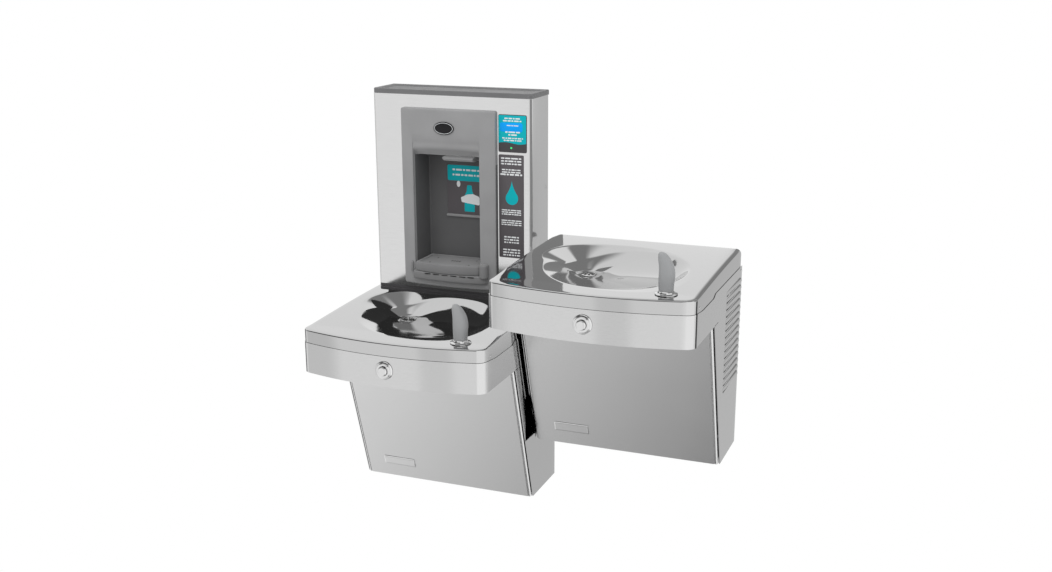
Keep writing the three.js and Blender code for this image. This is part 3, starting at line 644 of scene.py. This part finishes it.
def spline(stops, t):
    """Catmull-Rom through rows of numbers, whose first column is the position."""
    k = max(i for i in range(len(stops) - 1) if stops[i][0] <= t or i == 0)
    p = [stops[min(max(k + j, 0), len(stops) - 1)] for j in (-1, 0, 1, 2)]
    span = p[2][0] - p[1][0]
    u = (t - p[1][0]) / span
    out = []
    for c in range(1, len(stops[0])):
        m1 = (p[2][c] - p[0][c]) / max(p[2][0] - p[0][0], 1e-6) * span
        m2 = (p[3][c] - p[1][c]) / max(p[3][0] - p[1][0], 1e-6) * span
        out.append((2 * u ** 3 - 3 * u ** 2 + 1) * p[1][c] + (u ** 3 - 2 * u ** 2 + u) * m1
                   + (-2 * u ** 3 + 3 * u ** 2) * p[2][c] + (u ** 3 - u ** 2) * m2)
    return out


def oval_column(stops, count, sides=48, power=2.2):
    """A body of oval rings. Each stop is (z, centre x, half width, half depth)."""
    rings = []
    for k in range(count + 1):
        z = stops[0][0] + (stops[-1][0] - stops[0][0]) * k / count
        cx, a, b = spline(stops, z)
        ring = []
        for i in range(sides):
            angle = 2 * pi * i / sides
            c, s = cos(angle), sin(angle)
            grow = (abs(c) ** power + abs(s) ** power) ** (-1 / power)
            ring.append((BUBBLER["x"] + cx + a * grow * c, BUBBLER["y"] + b * grow * s, z))
        rings.append(ring)
    return loft(rings, caps=(True, True))


def guard_object(name, at):
    outside = [(5.8, -0.5, 14.6, 14.6), (8, -0.5, 15.6, 15.4), (20, -0.5, 16.3, 15.8), (42, 0.2, 17.6, 17),
               (60, -1.2, 16.6, 15.8), (72, -4.4, 14.4, 13.8), (80, -7.4, 12, 11.2), (86, -10, 9, 8.4),
               (89.5, -11.8, 5.6, 5.2), (90.8, -12.6, 2.2, 2)]
    mouth = [(33, -9, 8, 6), (36, -9.3, 12.4, 9.4), (45, -10, 13.8, 10.3), (58, -11.2, 13.8, 10.4),
             (70, -13.6, 11.4, 8.4), (78, -17, 7.4, 5), (81, -18.4, 4, 2.6)]
    obj = build(name, *oval_column(outside, 44), at=at, smooth=40)
    hollow = build(name + "_mouth", *oval_column(mouth, 26, power=2.0), at=at)
    bore = turned([(0, 0), (11.6, 0), (11.6, 35), (0, 35)], sides=48)
    socket = build(name + "_socket", *moved(bore, (BUBBLER["x"], BUBBLER["y"], 0)), at=at)
    subtract(obj, hollow)
    subtract(obj, socket)
    return obj


def collar_mesh():
    """A domed escutcheon under a ring nut."""
    profile = fillet(
        [(11.6, 0.3), (11.6, 7.2), (16.6, 7.2), (17.5, 6.2), (17.5, 4.0), (20.4, 3.4), (22, 1.9), (22, 0.3)],
        [0, 0.5, 0.5, 0.4, 0.5, 1.5, 0.9, 0], steps=4, closed=False)
    return turned([(r, -SHROUD["depth"] - h) for r, h in profile], "y", 80, (0, BUTTON_Z))


def button_mesh():
    """The cap, whose back stays clear of the apron when it is pressed."""
    profile = fillet([(0, 5), (11, 5), (11, 11.6), (9.6, 12.8), (0, 13)], [0, 0.4, 1.2, 1.6, 0],
                     steps=5, closed=False)
    return turned([(r, -SHROUD["depth"] - h) for r, h in profile], "y", 64, (0, BUTTON_Z))


def pan_screw(x, y, z, side, radius=3.4, height=1.9):
    profile = [(radius, 0), (radius, height * 0.35), (radius * 0.8, height * 0.8), (radius * 0.45, height),
               (radius * 0.4, height * 0.5), (0, height * 0.5)]
    return turned([(r, x + side * h) for r, h in profile], "x", 24, (y, z))


# ---------------- both units
def make_unit(prefix, at, louvred, button):
    """One fountain. The low and the high one differ only in their places and the louvres."""
    def fit(name, part, material, node, smooth=30, body="fixture"):
        return add(f"{prefix}_{name}", part, material, [f"{prefix}_{node}"], body, at, smooth)

    fit("basin_skin", basin_mesh(), POLISHED, "basin", 50)
    drain = at + Vector((DRAIN["x"], DRAIN["y"], DRAIN["z"]))
    strainer = build(f"{prefix}_strainer_dome", *strainer_mesh(), at=drain, smooth=30)
    piece(thicken(strainer, 0.8), CHROME, [f"{prefix}_drain_strainer"])
    shroud = shroud_object(f"{prefix}_wrapper", at, louvred)
    piece(shroud, BRIGHT, [f"{prefix}_shroud"])
    fit("front_pan", front_panel_mesh(), SATIN, "front_panel")
    fit("nameplate_blank", nameplate_mesh(), CHROME, "nameplate", 25)
    fit("bubbler_seat", bubbler_base_mesh(), CHROME, "bubbler_base")
    guard = guard_object(f"{prefix}_guard_hood", at)
    piece(guard, RUBBER, [f"{prefix}_bubbler_guard"])
    fit("button_escutcheon", collar_mesh(), CHROME, "button_collar")
    fit("button_cap", button_mesh(), CHROME, "button", body=button)
    screws = [pan_screw(side * BASIN["half"], -423, -24, side, 2.6, 1.6) for side in (-1, 1)]
    screws += [pan_screw(side * SHROUD["half"], -11, -40, side) for side in (-1, 1)]
    add(f"{prefix}_side_screws", together(*screws), CHROME, at=at, smooth=30)
    if louvred:
        hoods = build(f"{prefix}_louvres", *louvres_mesh(), at=at, smooth=50)
        piece(thicken(hoods, 0.5, 50), BRIGHT)


make_unit("lower", LOW, False, "low_button")
make_unit("upper", HIGH, True, "high_button")


# ---------------- bottle filler
def tower_outline(grow=0.0, corner=None, back=-0.3):
    """The tower seen from above, with rounded front corners. A negative grow makes it smaller."""
    left, right, front = TOWER["left"] - grow, TOWER["right"] + grow, -TOWER["depth"] - grow
    radius = max((TOWER["corner"] if corner is None else corner) + grow, 0.5)
    points = [(left, back)]
    for cx, start in ((left + radius, 180), (right - radius, 270)):
        for k in range(11):
            a = radians(start + 90 * k / 10)
            points.append((cx + radius * cos(a), front + radius + radius * sin(a)))
    return points + [(right, back)]


def sheet_tower_mesh():
    """The tower's wrap, with a window behind the fascia."""
    edges = [FASCIA["left"] + 4, FASCIA["right"] - 4]
    outline = tower_outline()
    front = next(i for i, (x, y) in enumerate(outline) if x > 0)  # the straight front starts before this point
    outline[front:front] = [(x, -TOWER["depth"]) for x in edges]
    low, high = FASCIA["bottom"] + 4, FASCIA["top"] - 4
    levels = [TOWER["body"], low, 170, 330, high, TOWER["top"]]
    verts, faces = loft([level(outline, z) for z in levels], closed=False)
    across = len(outline)

    def in_window(face):
        i, row = min(face) % across, min(face) // across
        return i == front and low <= levels[row] < high
    return verts, [face for face in faces if not in_window(face)]


def cap_mesh():
    """A moulded lid: its rim stands over a shallow tray with a bevelled edge."""
    low, high = TOWER["top"] + 0.3, TOWER["cap"]
    steps = [(2, low), (2, high - 2.4), (1.7, high - 1.2), (1.0, high - 0.4), (0, high), (-6.5, high),
             (-8.5, high - 0.5), (-13, high - 4.0), (-15, high - 4.5)]
    rings = [level(tower_outline(grow, 14, back=-0.3 if grow > -1 else -0.3 + grow), z) for grow, z in steps]
    return loft(rings, caps=(True, True))


def base_trim_mesh():
    low, high = TOWER["foot"], TOWER["body"] - 0.4
    steps = [(-2, low), (-0.6, low + 0.6), (0, low + 2), (0, low + 8.2), (-1.4, low + 9.2), (-1.4, low + 10.2),
             (0, low + 11.2), (0, high - 1), (-0.8, high)]
    rings = [level(tower_outline(grow, 7), z) for grow, z in steps]
    return loft(rings, caps=(True, True))


def face_y(x):
    half = (FASCIA["right"] - FASCIA["left"]) / 2
    t = (x - (FASCIA["right"] + FASCIA["left"]) / 2) / half
    return -(FASCIA["edge"] + FASCIA["bow"] * (1 - t * t))


def gate(x0, x1, z0, z1, low_radius, high_radius, side_points=14, corner_points=7):
    """A rectangle with many points along its sides, so that rings of different sizes can be joined."""
    points = []
    corners = [(x0, z0, low_radius, 180), (x1, z0, low_radius, 270), (x1, z1, high_radius, 0),
               (x0, z1, high_radius, 90)]
    centres = []
    for cx, cz, radius, start in corners:
        sx, sz = (1 if cx == x0 else -1), (1 if cz == z0 else -1)
        centres.append((cx + sx * radius, cz + sz * radius, radius, start))
    for n, (cx, cz, radius, start) in enumerate(centres):
        for k in range(corner_points + 1):
            a = radians(start + 90 * k / corner_points)
            points.append((cx + radius * cos(a), cz + radius * sin(a)))
        nx, nz, nr, ns = centres[(n + 1) % 4]
        first = points[-1]
        a = radians(ns)
        last = (nx + nr * cos(a), nz + nr * sin(a))
        for k in range(1, side_points):
            t = k / side_points
            points.append(tuple(p + (q - p) * t for p, q in zip(first, last)))
    return points


def lip_height(y):
    """The alcove's ceiling: a rounded nose that starts in the front face."""
    if y >= LIP["back"]:
        return ALCOVE["ceiling"]
    radius = LIP["radius"]
    return ALCOVE["ceiling"] + radius - sqrt(max(radius ** 2 - (y - LIP["back"]) ** 2, 0.0))


def fascia_mesh():
    left, right, bottom, top = FASCIA["left"], FASCIA["right"], FASCIA["bottom"], FASCIA["top"]
    a_left, a_right, floor = ALCOVE["left"], ALCOVE["right"], ALCOVE["floor"]
    rest = -TOWER["depth"] - 0.3

    def outer(inset, y_of):
        ring = gate(left + inset, right - inset, bottom + inset, top - inset, 5, 6 - inset * 0.5)
        return [(x, y_of(x), z) for x, z in ring]

    rings = [outer(0, lambda x: rest), outer(0, lambda x: face_y(x) + 3.0)]
    for k in range(1, 5):
        a = radians(90 * k / 4)
        rings.append(outer(3 * (1 - cos(a)), lambda x: face_y(x) + 3 * (1 - sin(a))))
    rings.append(outer(9, face_y))

    def mouth(grow, y_of, ceiling):
        ring = gate(a_left - grow, a_right + grow, floor - grow, ceiling, 3, 5)
        return [(x, y_of(x), z) for x, z in ring]

    roll = FASCIA["roll"]
    start = LIP["start"]
    nose = -FASCIA["edge"] - FASCIA["bow"] + roll
    drop = start - lip_height(nose)
    rings.append(mouth(roll + 4, face_y, start + 3))
    for k in range(0, 7):
        a = radians(90 * k / 6)
        back = roll * (1 - cos(a))
        rings.append(mouth(roll * (1 - sin(a)), lambda x: face_y(x) + back,
                           start - drop * sqrt(back / roll)))
    for k in range(1, 19):
        t = ease(k / 18) * 0.5 + k / 36
        y = nose + (LIP["back"] - nose) * t
        share = clamp01((y + 139.5) / 14)
        rings.append(mouth(0, lambda x: (face_y(x) + roll) * (1 - share) + y * share, lip_height(y)))
    rings.append(mouth(0, lambda x: -70, lip_height(-70)))
    rings.append(mouth(-0.6, lambda x: ALCOVE["back"] - 3, ALCOVE["ceiling"] - 0.6))
    rings.append(mouth(-3.2, lambda x: ALCOVE["back"] - 0.3, ALCOVE["ceiling"] - 3.2))
    return loft(rings, caps=(False, True))


def bowed_outline(x0, x1, depth, bulge, radius_left, radius_right, back, inset=0.0, steps=24):
    """A shelf seen from above: a bulging front edge with rounded corners, and a straight back."""
    x0, x1, back = x0 + inset, x1 - inset, back - inset
    points = [(x0, back)]
    for k in range(steps + 1):
        x = x0 + (x1 - x0) * k / steps
        t = -1 + 2 * k / steps
        y = -(depth + bulge * (1 - t * t) - inset)
        for near, radius in ((x - x0, radius_left), (x1 - x, radius_right)):
            if near < radius:
                y += radius - sqrt(radius ** 2 - (radius - near) ** 2)
        points.append((x, y))
    return points + [(x1, back)]


def shelf_part(z0, z1, edge, x0=-99, x1=109, back=-125):
    def outline(inset):
        return bowed_outline(x0, x1, 143, 11, 7, 13, back, inset, 48)
    return slab(outline, z0, z1, edge, both=True)


def cheek_part(x0, x1, front, z0, z1, radius):
    """An upright end of the shelf, rounded at its front and top."""
    def outline(inset):
        return rect(x0, x1, front, -125, radius, inset)
    return slab(outline, z0, z1, 5)


def tray_mesh():
    """A drip tray: a bulging lip round a shallow dish. Its drain holes are not cut here."""
    left, right, top, low = ALCOVE["left"] + 2, ALCOVE["right"] - 2, 103.6, 82.2

    def outline(inset):
        return bowed_outline(left, right, 141, 14, 1.2, 1.2, ALCOVE["back"] - 1.5, inset, 40)

    steps = [(1.2, low), (0.3, low + 0.5), (0, low + 1.6), (0, top - 2), (0.5, top - 0.6), (1.6, top),
             (6.5, top), (7.6, top - 0.6), (9.5, top - 2.8), (11, top - 3.2)]
    return loft([level(outline(inset), z) for inset, z in steps], caps=(True, True))


def discs(points, radius, low, high, sides=18):
    disc = turned([(0, low), (radius, low), (radius, high), (0, high)], sides=sides)
    return together(*[moved(disc, (x, y, 0)) for x, y in points])


def front_plate(x0, x1, z0, z1, radius, back, front, edge=0.5):
    return slab(lambda inset: rect(x0, x1, z0, z1, radius, inset), back, front, edge, "y", steps=3)


def marks(rows, y):
    """Rows of short bars that stand for small print: (x0, x1, z, height, number of bars)."""
    parts = []
    for x0, x1, z, height, count in rows:
        gap = height * 0.6
        widths = [1 + 0.5 * sin(2.4 * k + z) for k in range(count)]
        scale = (x1 - x0 - gap * (count - 1)) / sum(widths)
        x = x0
        for width in widths:
            parts.append(front_plate(x, x + width * scale, z, z + height, height * 0.3, y + 0.12, y, 0.02))
            x += width * scale + gap
    return together(*parts)


def droplet(cx, top, bottom, half, y0, y1, steps=26):
    """A plain drop of water as a thin plate."""
    outline = []
    for k in range(steps + 1):
        a = radians(-210 + 240 * k / steps)
        outline.append((cx + half * cos(a), bottom + half + half * sin(a)))

    def towards_tip(start, t):
        return (start[0] + (cx - start[0]) * (1 - (1 - t) ** 1.5), start[1] + (top - start[1]) * t ** 1.1)

    right, left = outline[-1], outline[0]
    outline += [towards_tip(right, k / 8) for k in range(1, 8)]
    outline.append((cx, top))
    outline += [towards_tip(left, k / 8) for k in range(7, 0, -1)]
    return flat_shape(outline, y0, y1)


def flat_shape(outline, y0, y1):
    return loft([upright(outline, y) for y in (y0, y1)], caps=(True, True))


tower = build("filler_wrap", *sheet_tower_mesh(), at=LOW, smooth=35)
piece(thicken(tower, 1.4), WRAP, ["filler_body"])
add("filler_lid", cap_mesh(), LID, ["filler_cap"], smooth=28)
add("filler_plinth", base_trim_mesh(), DARK_GREY, ["filler_base_trim"], smooth=28)

fascia = add("filler_face", fascia_mesh(), GREY, ["filler_fascia"], smooth=35)
# Faces deep in the alcove get the painted shade, a darker copy of the same grey moulding.
fascia.data.materials.append(ALCOVE_SHADE_GREY)
for face in fascia.data.polygons:
    if (face.center.y > RECESSED["front"] * MM
            and abs(face.center.z / MM - RECESSED["middle"]) < RECESSED["half"]):
        face.material_index = 1
shelf = together(shelf_part(61, 80.5, 3.0), cheek_part(86.5, 108.6, -151, 78, 112, 9),
                 cheek_part(-104, -97.5, -141, 78, 104, 3))
add("filler_shelf", shelf, TRAY_GREY, smooth=30)
# Black plates on the shelf's front where its slots are: painted shade, the shelf is not cut.
slots = together(*[front_plate(x - 8.5, x + 8.5, 76.6, 79.0, 1.1, -150, -154.4 + 0.0007 * (x - 5) ** 2)
                   for x in (-52, -28, -4, 20, 44, 66)])
add("filler_shelf_slots", slots, HOLE_SHADOW)
add("filler_drip_tray", tray_mesh(), TRAY_GREY, ["filler_tray"], "tray", smooth=28)
# Black discs on the tray's dish for its drain holes: painted shade, the tray is not cut.
holes = discs([(-12 + 7 * i, -92 + 6 * j) for i in range(4) for j in range(2)]
              + [(-60, -70), (48, -70), (-60, -120), (48, -120)], 2.1, 99.8, 100.75)
add("filler_tray_holes", holes, HOLE_SHADOW, body="tray")

spout = fillet([(-120, 371.7), (-120, 366), (-110, 360.7), (-62, 360.7), (-62, 371.7)], [0, 3, 4, 3, 0])
spout_rings = [[(x, y, z) for y, z in spout] for x in (-20, 62)]
nozzle = build("filler_spout", *loft(spout_rings, caps=(True, True)), at=LOW, smooth=25)
nozzle.modifiers.new("edge", "BEVEL").width = 1.2 * MM
piece(nozzle, GREY, ["filler_nozzle"])

panel_back, panel_front = ALCOVE["back"] - 0.3, ALCOVE["back"] - 3.3
sensor = front_plate(-42, 62, 214, 342, 7, panel_back, panel_front, 1.0)
add("filler_sensor_plate", sensor, LABEL, ["filler_sensor_panel"], smooth=28)
print_y = panel_front - 0.15
header = front_plate(-40, 60, 300, 340, 4, panel_front + 0.3, print_y, 0.1)
bottle_points = [(6, 222), (34, 222), (34, 262), (28, 274), (26, 290), (14, 290), (12, 274), (6, 262)]
bottle = flat_shape(fillet(bottle_points, 2), panel_front + 0.3, print_y)
add("filler_sensor_teal", together(header, bottle), TEAL)
lines = marks([(-26, 48, 326, 4.6, 6), (-26, 52, 313, 4.6, 7)], print_y - 0.05)
sleeve_points = [(-2, 246), (46, 240), (52, 250), (46, 262), (30, 268), (14, 266), (-4, 258)]
sleeve = flat_shape(fillet(sleeve_points, 3), print_y, print_y - 0.2)
turns = [a / 12 * pi for a in range(24)]
ring = flat_shape([(-10 + 5 * cos(a), 292 + 8 * sin(a)) for a in turns], print_y, print_y - 0.2)
add("filler_sensor_print", together(lines, sleeve, ring), PRINT)
ledge = front_plate(-44, 64, 207.5, 213.5, 2.5, ALCOVE["back"], panel_front - 2.5, 1.5)
add("filler_sensor_ledge", ledge, GREY, smooth=28)

plate_y = -TOWER["depth"] - 0.3
bezel = front_plate(LABELS["left"], LABELS["right"], 391, 482, 4, plate_y, plate_y - 1.6, 0.8)
add("filler_display_bezel", bezel, DARK_GREY, smooth=28)
screen_left, screen_right, screen_top = 130.5, 202, 480.5
wave = [(screen_left + (screen_right - screen_left) * k / 24, 413.5 + 2.2 * sin(2 * pi * k / 24))
        for k in range(25)]
screen_outline = wave + [(screen_right, screen_top), (screen_left, screen_top)]
screen = flat_shape(screen_outline, plate_y - 1.5, plate_y - 2.0)
add("filler_display_film", screen, TEAL, ["filler_display"])
patch = front_plate(134, 193, 441, 463, 5, plate_y - 1.9, plate_y - 2.15, 0.1)
add("filler_display_patch", patch, BLUE)
rows = [(146, 186, 471.5, 3.2, 4), (142, 190, 465.6, 3.2, 5), (152, 182, 455, 2.2, 3),
        (148, 186, 438.5, 3.4, 3), (156, 178, 432, 3.4, 2), (140, 194, 424, 3.0, 7), (144, 190, 418.6, 3.0, 5)]
add("filler_display_print", marks(rows, plate_y - 2.2), PRINT)
lamp = turned([(2.5, plate_y - 1.5), (2.5, plate_y - 2.3), (1.6, plate_y - 2.9), (0, plate_y - 3.1)], "y", 24,
              (163.5, 402))
add("filler_status_lens", lamp, GREEN, ["filler_status_light"])

strip = front_plate(LABELS["left"], LABELS["strip"], 129, 385, 3, plate_y, plate_y - 0.9, 0.3)
add("filler_strip_film", strip, LABEL, ["filler_label_strip"], smooth=28)
strip_y = plate_y - 1.0
rows = []
for top, count, inset, height in ((378, 3, 5, 3.4), (350, 2, 7, 3.0), (339, 1, 3, 4.2), (250, 3, 6, 2.6),
                                  (224, 3, 5, 2.6), (183, 3, 12, 3.4), (151, 3, 9, 3.4)):
    for k in range(count):
        rows.append((131 + inset, 194 - inset, top - height - k * height * 2.0, height, 4 + (k + count) % 3))
add("filler_strip_print", marks(rows, strip_y), PRINT)
add("filler_strip_drop", droplet(164, 322, 262, 16.5, strip_y + 0.2, strip_y), TEAL)

badge_y = -(FASCIA["edge"] + FASCIA["bow"]) - 0.3


def oval(inset):
    return [(-3 + (27 - inset) * cos(a), 445 + (16 - inset) * sin(a))
            for a in (2 * pi * k / 64 for k in range(64))]


badge = slab(oval, badge_y, badge_y - 2, 1.0, "y")
add("filler_badge_oval", badge, BLACK, ["filler_badge"], smooth=28)
ring_rings = [upright(oval(inset), badge_y - out)
              for inset, out in ((2.4, 1.9), (2.4, 2.15), (3.3, 2.15), (3.3, 1.9))]
add("filler_badge_ring", loft(ring_rings), PRINT)
side_screw = pan_screw(TOWER["right"] + 0.3, -19, 294, 1, 4, 2)
add("filler_side_screw_head", side_screw, CHROME, ["filler_side_screw"], smooth=30)


# ---------------- carried-over CAD nodes
FINISHES = {
    "back_frame": GALVANISED, "soffit": GALVANISED, "bottom_cover": GALVANISED, "wall_plate": GALVANISED,
    "power_box": GALVANISED, "fan_shroud": GALVANISED, "valve_lever": GALVANISED, "drain_trap": PIPE,
    "bubbler_tube": PIPE, "fill_tube": PIPE, "tray_drain": PIPE, "inlet_tube": COPPER, "compressor": PAINT,
    "condenser": FINS, "fan_blade": FINS, "fan_motor": MOTOR, "chiller_tank": FOAM, "valve_body": BLACK,
    "solenoid": BLACK, "control_board": BLACK, "filter_head": BLACK, "filter_cartridge": WHITE,
}
for name, node in frame["nodes"].items():
    if node.hide_render:
        continue
    finish = FINISHES[name.split("_", 1)[1]]
    if not node.data.materials:
        node.data.materials.append(finish)
    for index in range(len(node.data.materials)):
        node.data.materials[index] = finish

# The steel mirrors the studio, and of the filler only its printed films.
for obj in bpy.data.objects:
    if obj.name.startswith("filler") and not obj.name.startswith(("filler_strip", "filler_display")):
        obj.visible_glossy = False

# ---------------- floor, light and camera
scene = bpy.context.scene
scene.view_settings.view_transform = "Standard"


def card(name, centre, width, height, facing, material):
    """A flat board that faces a point."""
    mesh = bpy.data.meshes.new(name)
    w, h = width / 2, height / 2
    mesh.from_pydata([(-w, -h, 0), (w, -h, 0), (w, h, 0), (-w, h, 0)], [], [(0, 1, 2, 3)])
    obj = bpy.data.objects.new(name, mesh)
    scene.collection.objects.link(obj)
    obj.location = centre
    obj.rotation_euler = (Vector(facing) - Vector(centre)).to_track_quat("Z", "Y").to_euler()
    mesh.materials.append(material)
    return obj


FLOOR_Z = -0.90
floor_paint = bpy.data.materials.new("floor_white")
floor_paint.use_nodes = True
floor_paint.node_tree.nodes.clear()
floor_glow = floor_paint.node_tree.nodes.new("ShaderNodeEmission")
floor_out = floor_paint.node_tree.nodes.new("ShaderNodeOutputMaterial")
floor_paint.node_tree.links.new(floor_glow.outputs["Emission"], floor_out.inputs["Surface"])
floor = card("floor", (0, 0, FLOOR_Z), 60, 60, (0, 0, 10), floor_paint)
floor.visible_glossy = False  # the studio's own lower half is what the steel mirrors

world = bpy.data.worlds.new("studio")
scene.world = world
world.use_nodes = True
sky, wires = world.node_tree.nodes, world.node_tree.links


def maths(operation, *values):
    node = sky.new("ShaderNodeMath")
    node.operation = operation
    for socket, value in zip(node.inputs, values):
        if isinstance(value, (int, float)):
            socket.default_value = value
        else:
            wires.new(value, socket)
    return node.outputs[0]


def ramp(value, low, high, to_low=0.0, to_high=1.0, soft=True):
    node = sky.new("ShaderNodeMapRange")
    node.interpolation_type = "SMOOTHSTEP" if soft else "LINEAR"
    for socket, number in zip(("From Min", "From Max", "To Min", "To Max"), (low, high, to_low, to_high)):
        node.inputs[socket].default_value = number
    wires.new(value, node.inputs["Value"])
    return node.outputs["Result"]


def vector_maths(operation, first, second):
    node = sky.new("ShaderNodeVectorMath")
    node.operation = operation
    wires.new(first, node.inputs[0])
    if second is not None:
        node.inputs[1].default_value = second
    return node.outputs["Value" if operation == "DOT_PRODUCT" else "Vector"]


def blended(below, tone, mask):
    under = maths("MULTIPLY", below, maths("SUBTRACT", 1.0, mask))
    return maths("ADD", under, maths("MULTIPLY", tone, mask))


direction = sky.new("ShaderNodeTexCoord").outputs["Generated"]
parts = sky.new("ShaderNodeSeparateXYZ")
wires.new(direction, parts.inputs["Vector"])
level_way = vector_maths("NORMALIZE", vector_maths("MULTIPLY", direction, (1, 1, 0)), None)

# What the steel mirrors: (bearing from the front towards the right, half width, soft edge, elevation,
# half height, soft edge), all in degrees, and the brightness of that part of the studio.
PATCHES = [
    (0, 80, 20, 28, 21, 8, 0.12),
    (60, 36, 12, -5, 40, 15, 1.2),
    (138, 13, 4, -16, 6, 3, 0.08),
    (-60, 6, 8, -16, 12, 6, 0.80),
    (-8, 3, 5, -16, 12, 6, 0.86),
    (165, 10, 4, -16, 16, 10, 0.60),
    (250, 10, 5, -8, 22, 8, 0.15),
    (176, 4, 3, 41, 13, 4, 1.1),
]
# the floor in front, which is darker to the right and straight below
rightwards, upwards = maths("MULTIPLY", parts.outputs["X"], -1.55), maths("MULTIPLY", parts.outputs["Z"], 2.08)
floor_tone = maths("ADD", maths("ADD", rightwards, upwards), 1.76)
floor_tone = maths("MINIMUM", maths("MAXIMUM", floor_tone, 0.15), 1.1)
below = maths("MULTIPLY", ramp(parts.outputs["Z"], -0.45, -0.62), ramp(parts.outputs["Y"], 0.05, -0.15))
brightness = blended(1.0, floor_tone, below)
# up and behind, for the bowls: bright to the left, dark to the right
to_right = maths("ADD", maths("ADD", parts.outputs["X"], 0.175), maths("MULTIPLY", parts.outputs["Z"], 0.034))
edge = maths("DIVIDE", to_right, maths("MAXIMUM", maths("MULTIPLY", parts.outputs["Z"], 0.10), 0.01))
behind = maths("MULTIPLY", ramp(parts.outputs["Z"], -0.03, 0.05), ramp(parts.outputs["Y"], -0.25, -0.10))
brightness = blended(brightness, ramp(edge, -1, 1, 1.0, 0.30), behind)
for bearing, width, side_soft, rise, height, rise_soft, tone in PATCHES:
    a = radians(bearing)
    facing = vector_maths("DOT_PRODUCT", level_way, (sin(a), -cos(a), 0))
    across = ramp(facing, cos(radians(width + side_soft)), cos(radians(width)))
    climb = maths("ABSOLUTE", maths("SUBTRACT", maths("ARCSINE", parts.outputs["Z"]), radians(rise)))
    along = ramp(climb, radians(height + rise_soft), radians(height))
    brightness = blended(brightness, tone, maths("MULTIPLY", across, along))
glossy = sky.new("ShaderNodeLightPath").outputs["Is Glossy Ray"]
wires.new(blended(1.0, brightness, glossy), sky["Background"].inputs["Strength"])
sky["Background"].inputs["Color"].default_value = (1, 1, 1, 1)


def dark_board(name, tone, centre, width, height, facing):
    """A board that only mirrors see."""
    paint = new_material(name, (0, 0, 0), 1.0, specular_ior_level=0.0,
                         emission_color=(1, 1, 1, 1), emission_strength=tone)
    board = card(name, centre, width, height, facing, paint)
    board.visible_camera = board.visible_diffuse = board.visible_shadow = False


dark_board("gap_board", 0.0, (0.2392, -0.10, 0.095), 0.21, 0.31, (5, -0.10, 0.095))
dark_board("side_board", 0.28, (0.2145, 0.0, 0.60), 0.23, 0.37, (5, 0.0, 0.60))
dark_board("front_board", 0.38, (0.172, -0.1142, 0.60), 0.084, 0.37, (0.172, -5, 0.60))
dark_board("bowl_board", 0.04, (-0.057, -0.06, 0.309), 0.314, 0.092, (-0.057, -5, 0.309))

softbox = bpy.data.lights.new("softbox", "AREA")
softbox.shape = "RECTANGLE"
softbox.size, softbox.size_y = 3.0, 2.0
softbox.energy = 40
light = bpy.data.objects.new("softbox", softbox)
scene.collection.objects.link(light)
light.visible_glossy = False
light.location = (0.6, -1.6, 3.2)
light.rotation_euler = (Vector((0.25, -0.2, 0.2)) - light.location).to_track_quat("-Z", "Y").to_euler()

camera_data = bpy.data.cameras.new("camera")
camera = bpy.data.objects.new("camera", camera_data)
scene.collection.objects.link(camera)
scene.camera = camera
camera_data.sensor_width = 36
camera_data.lens = 42.44
camera_data.shift_x = -0.0012
camera_data.shift_y = 0.0206
camera.location = (1.2891, -2.8851, 1.1050)
aim = Vector((0.24855, -0.230, 0.29482)) - camera.location
camera.rotation_mode = "QUATERNION"
roll = Matrix.Rotation(radians(-0.11), 3, "Z").to_quaternion()
camera.rotation_quaternion = aim.to_track_quat("-Z", "Y") @ roll
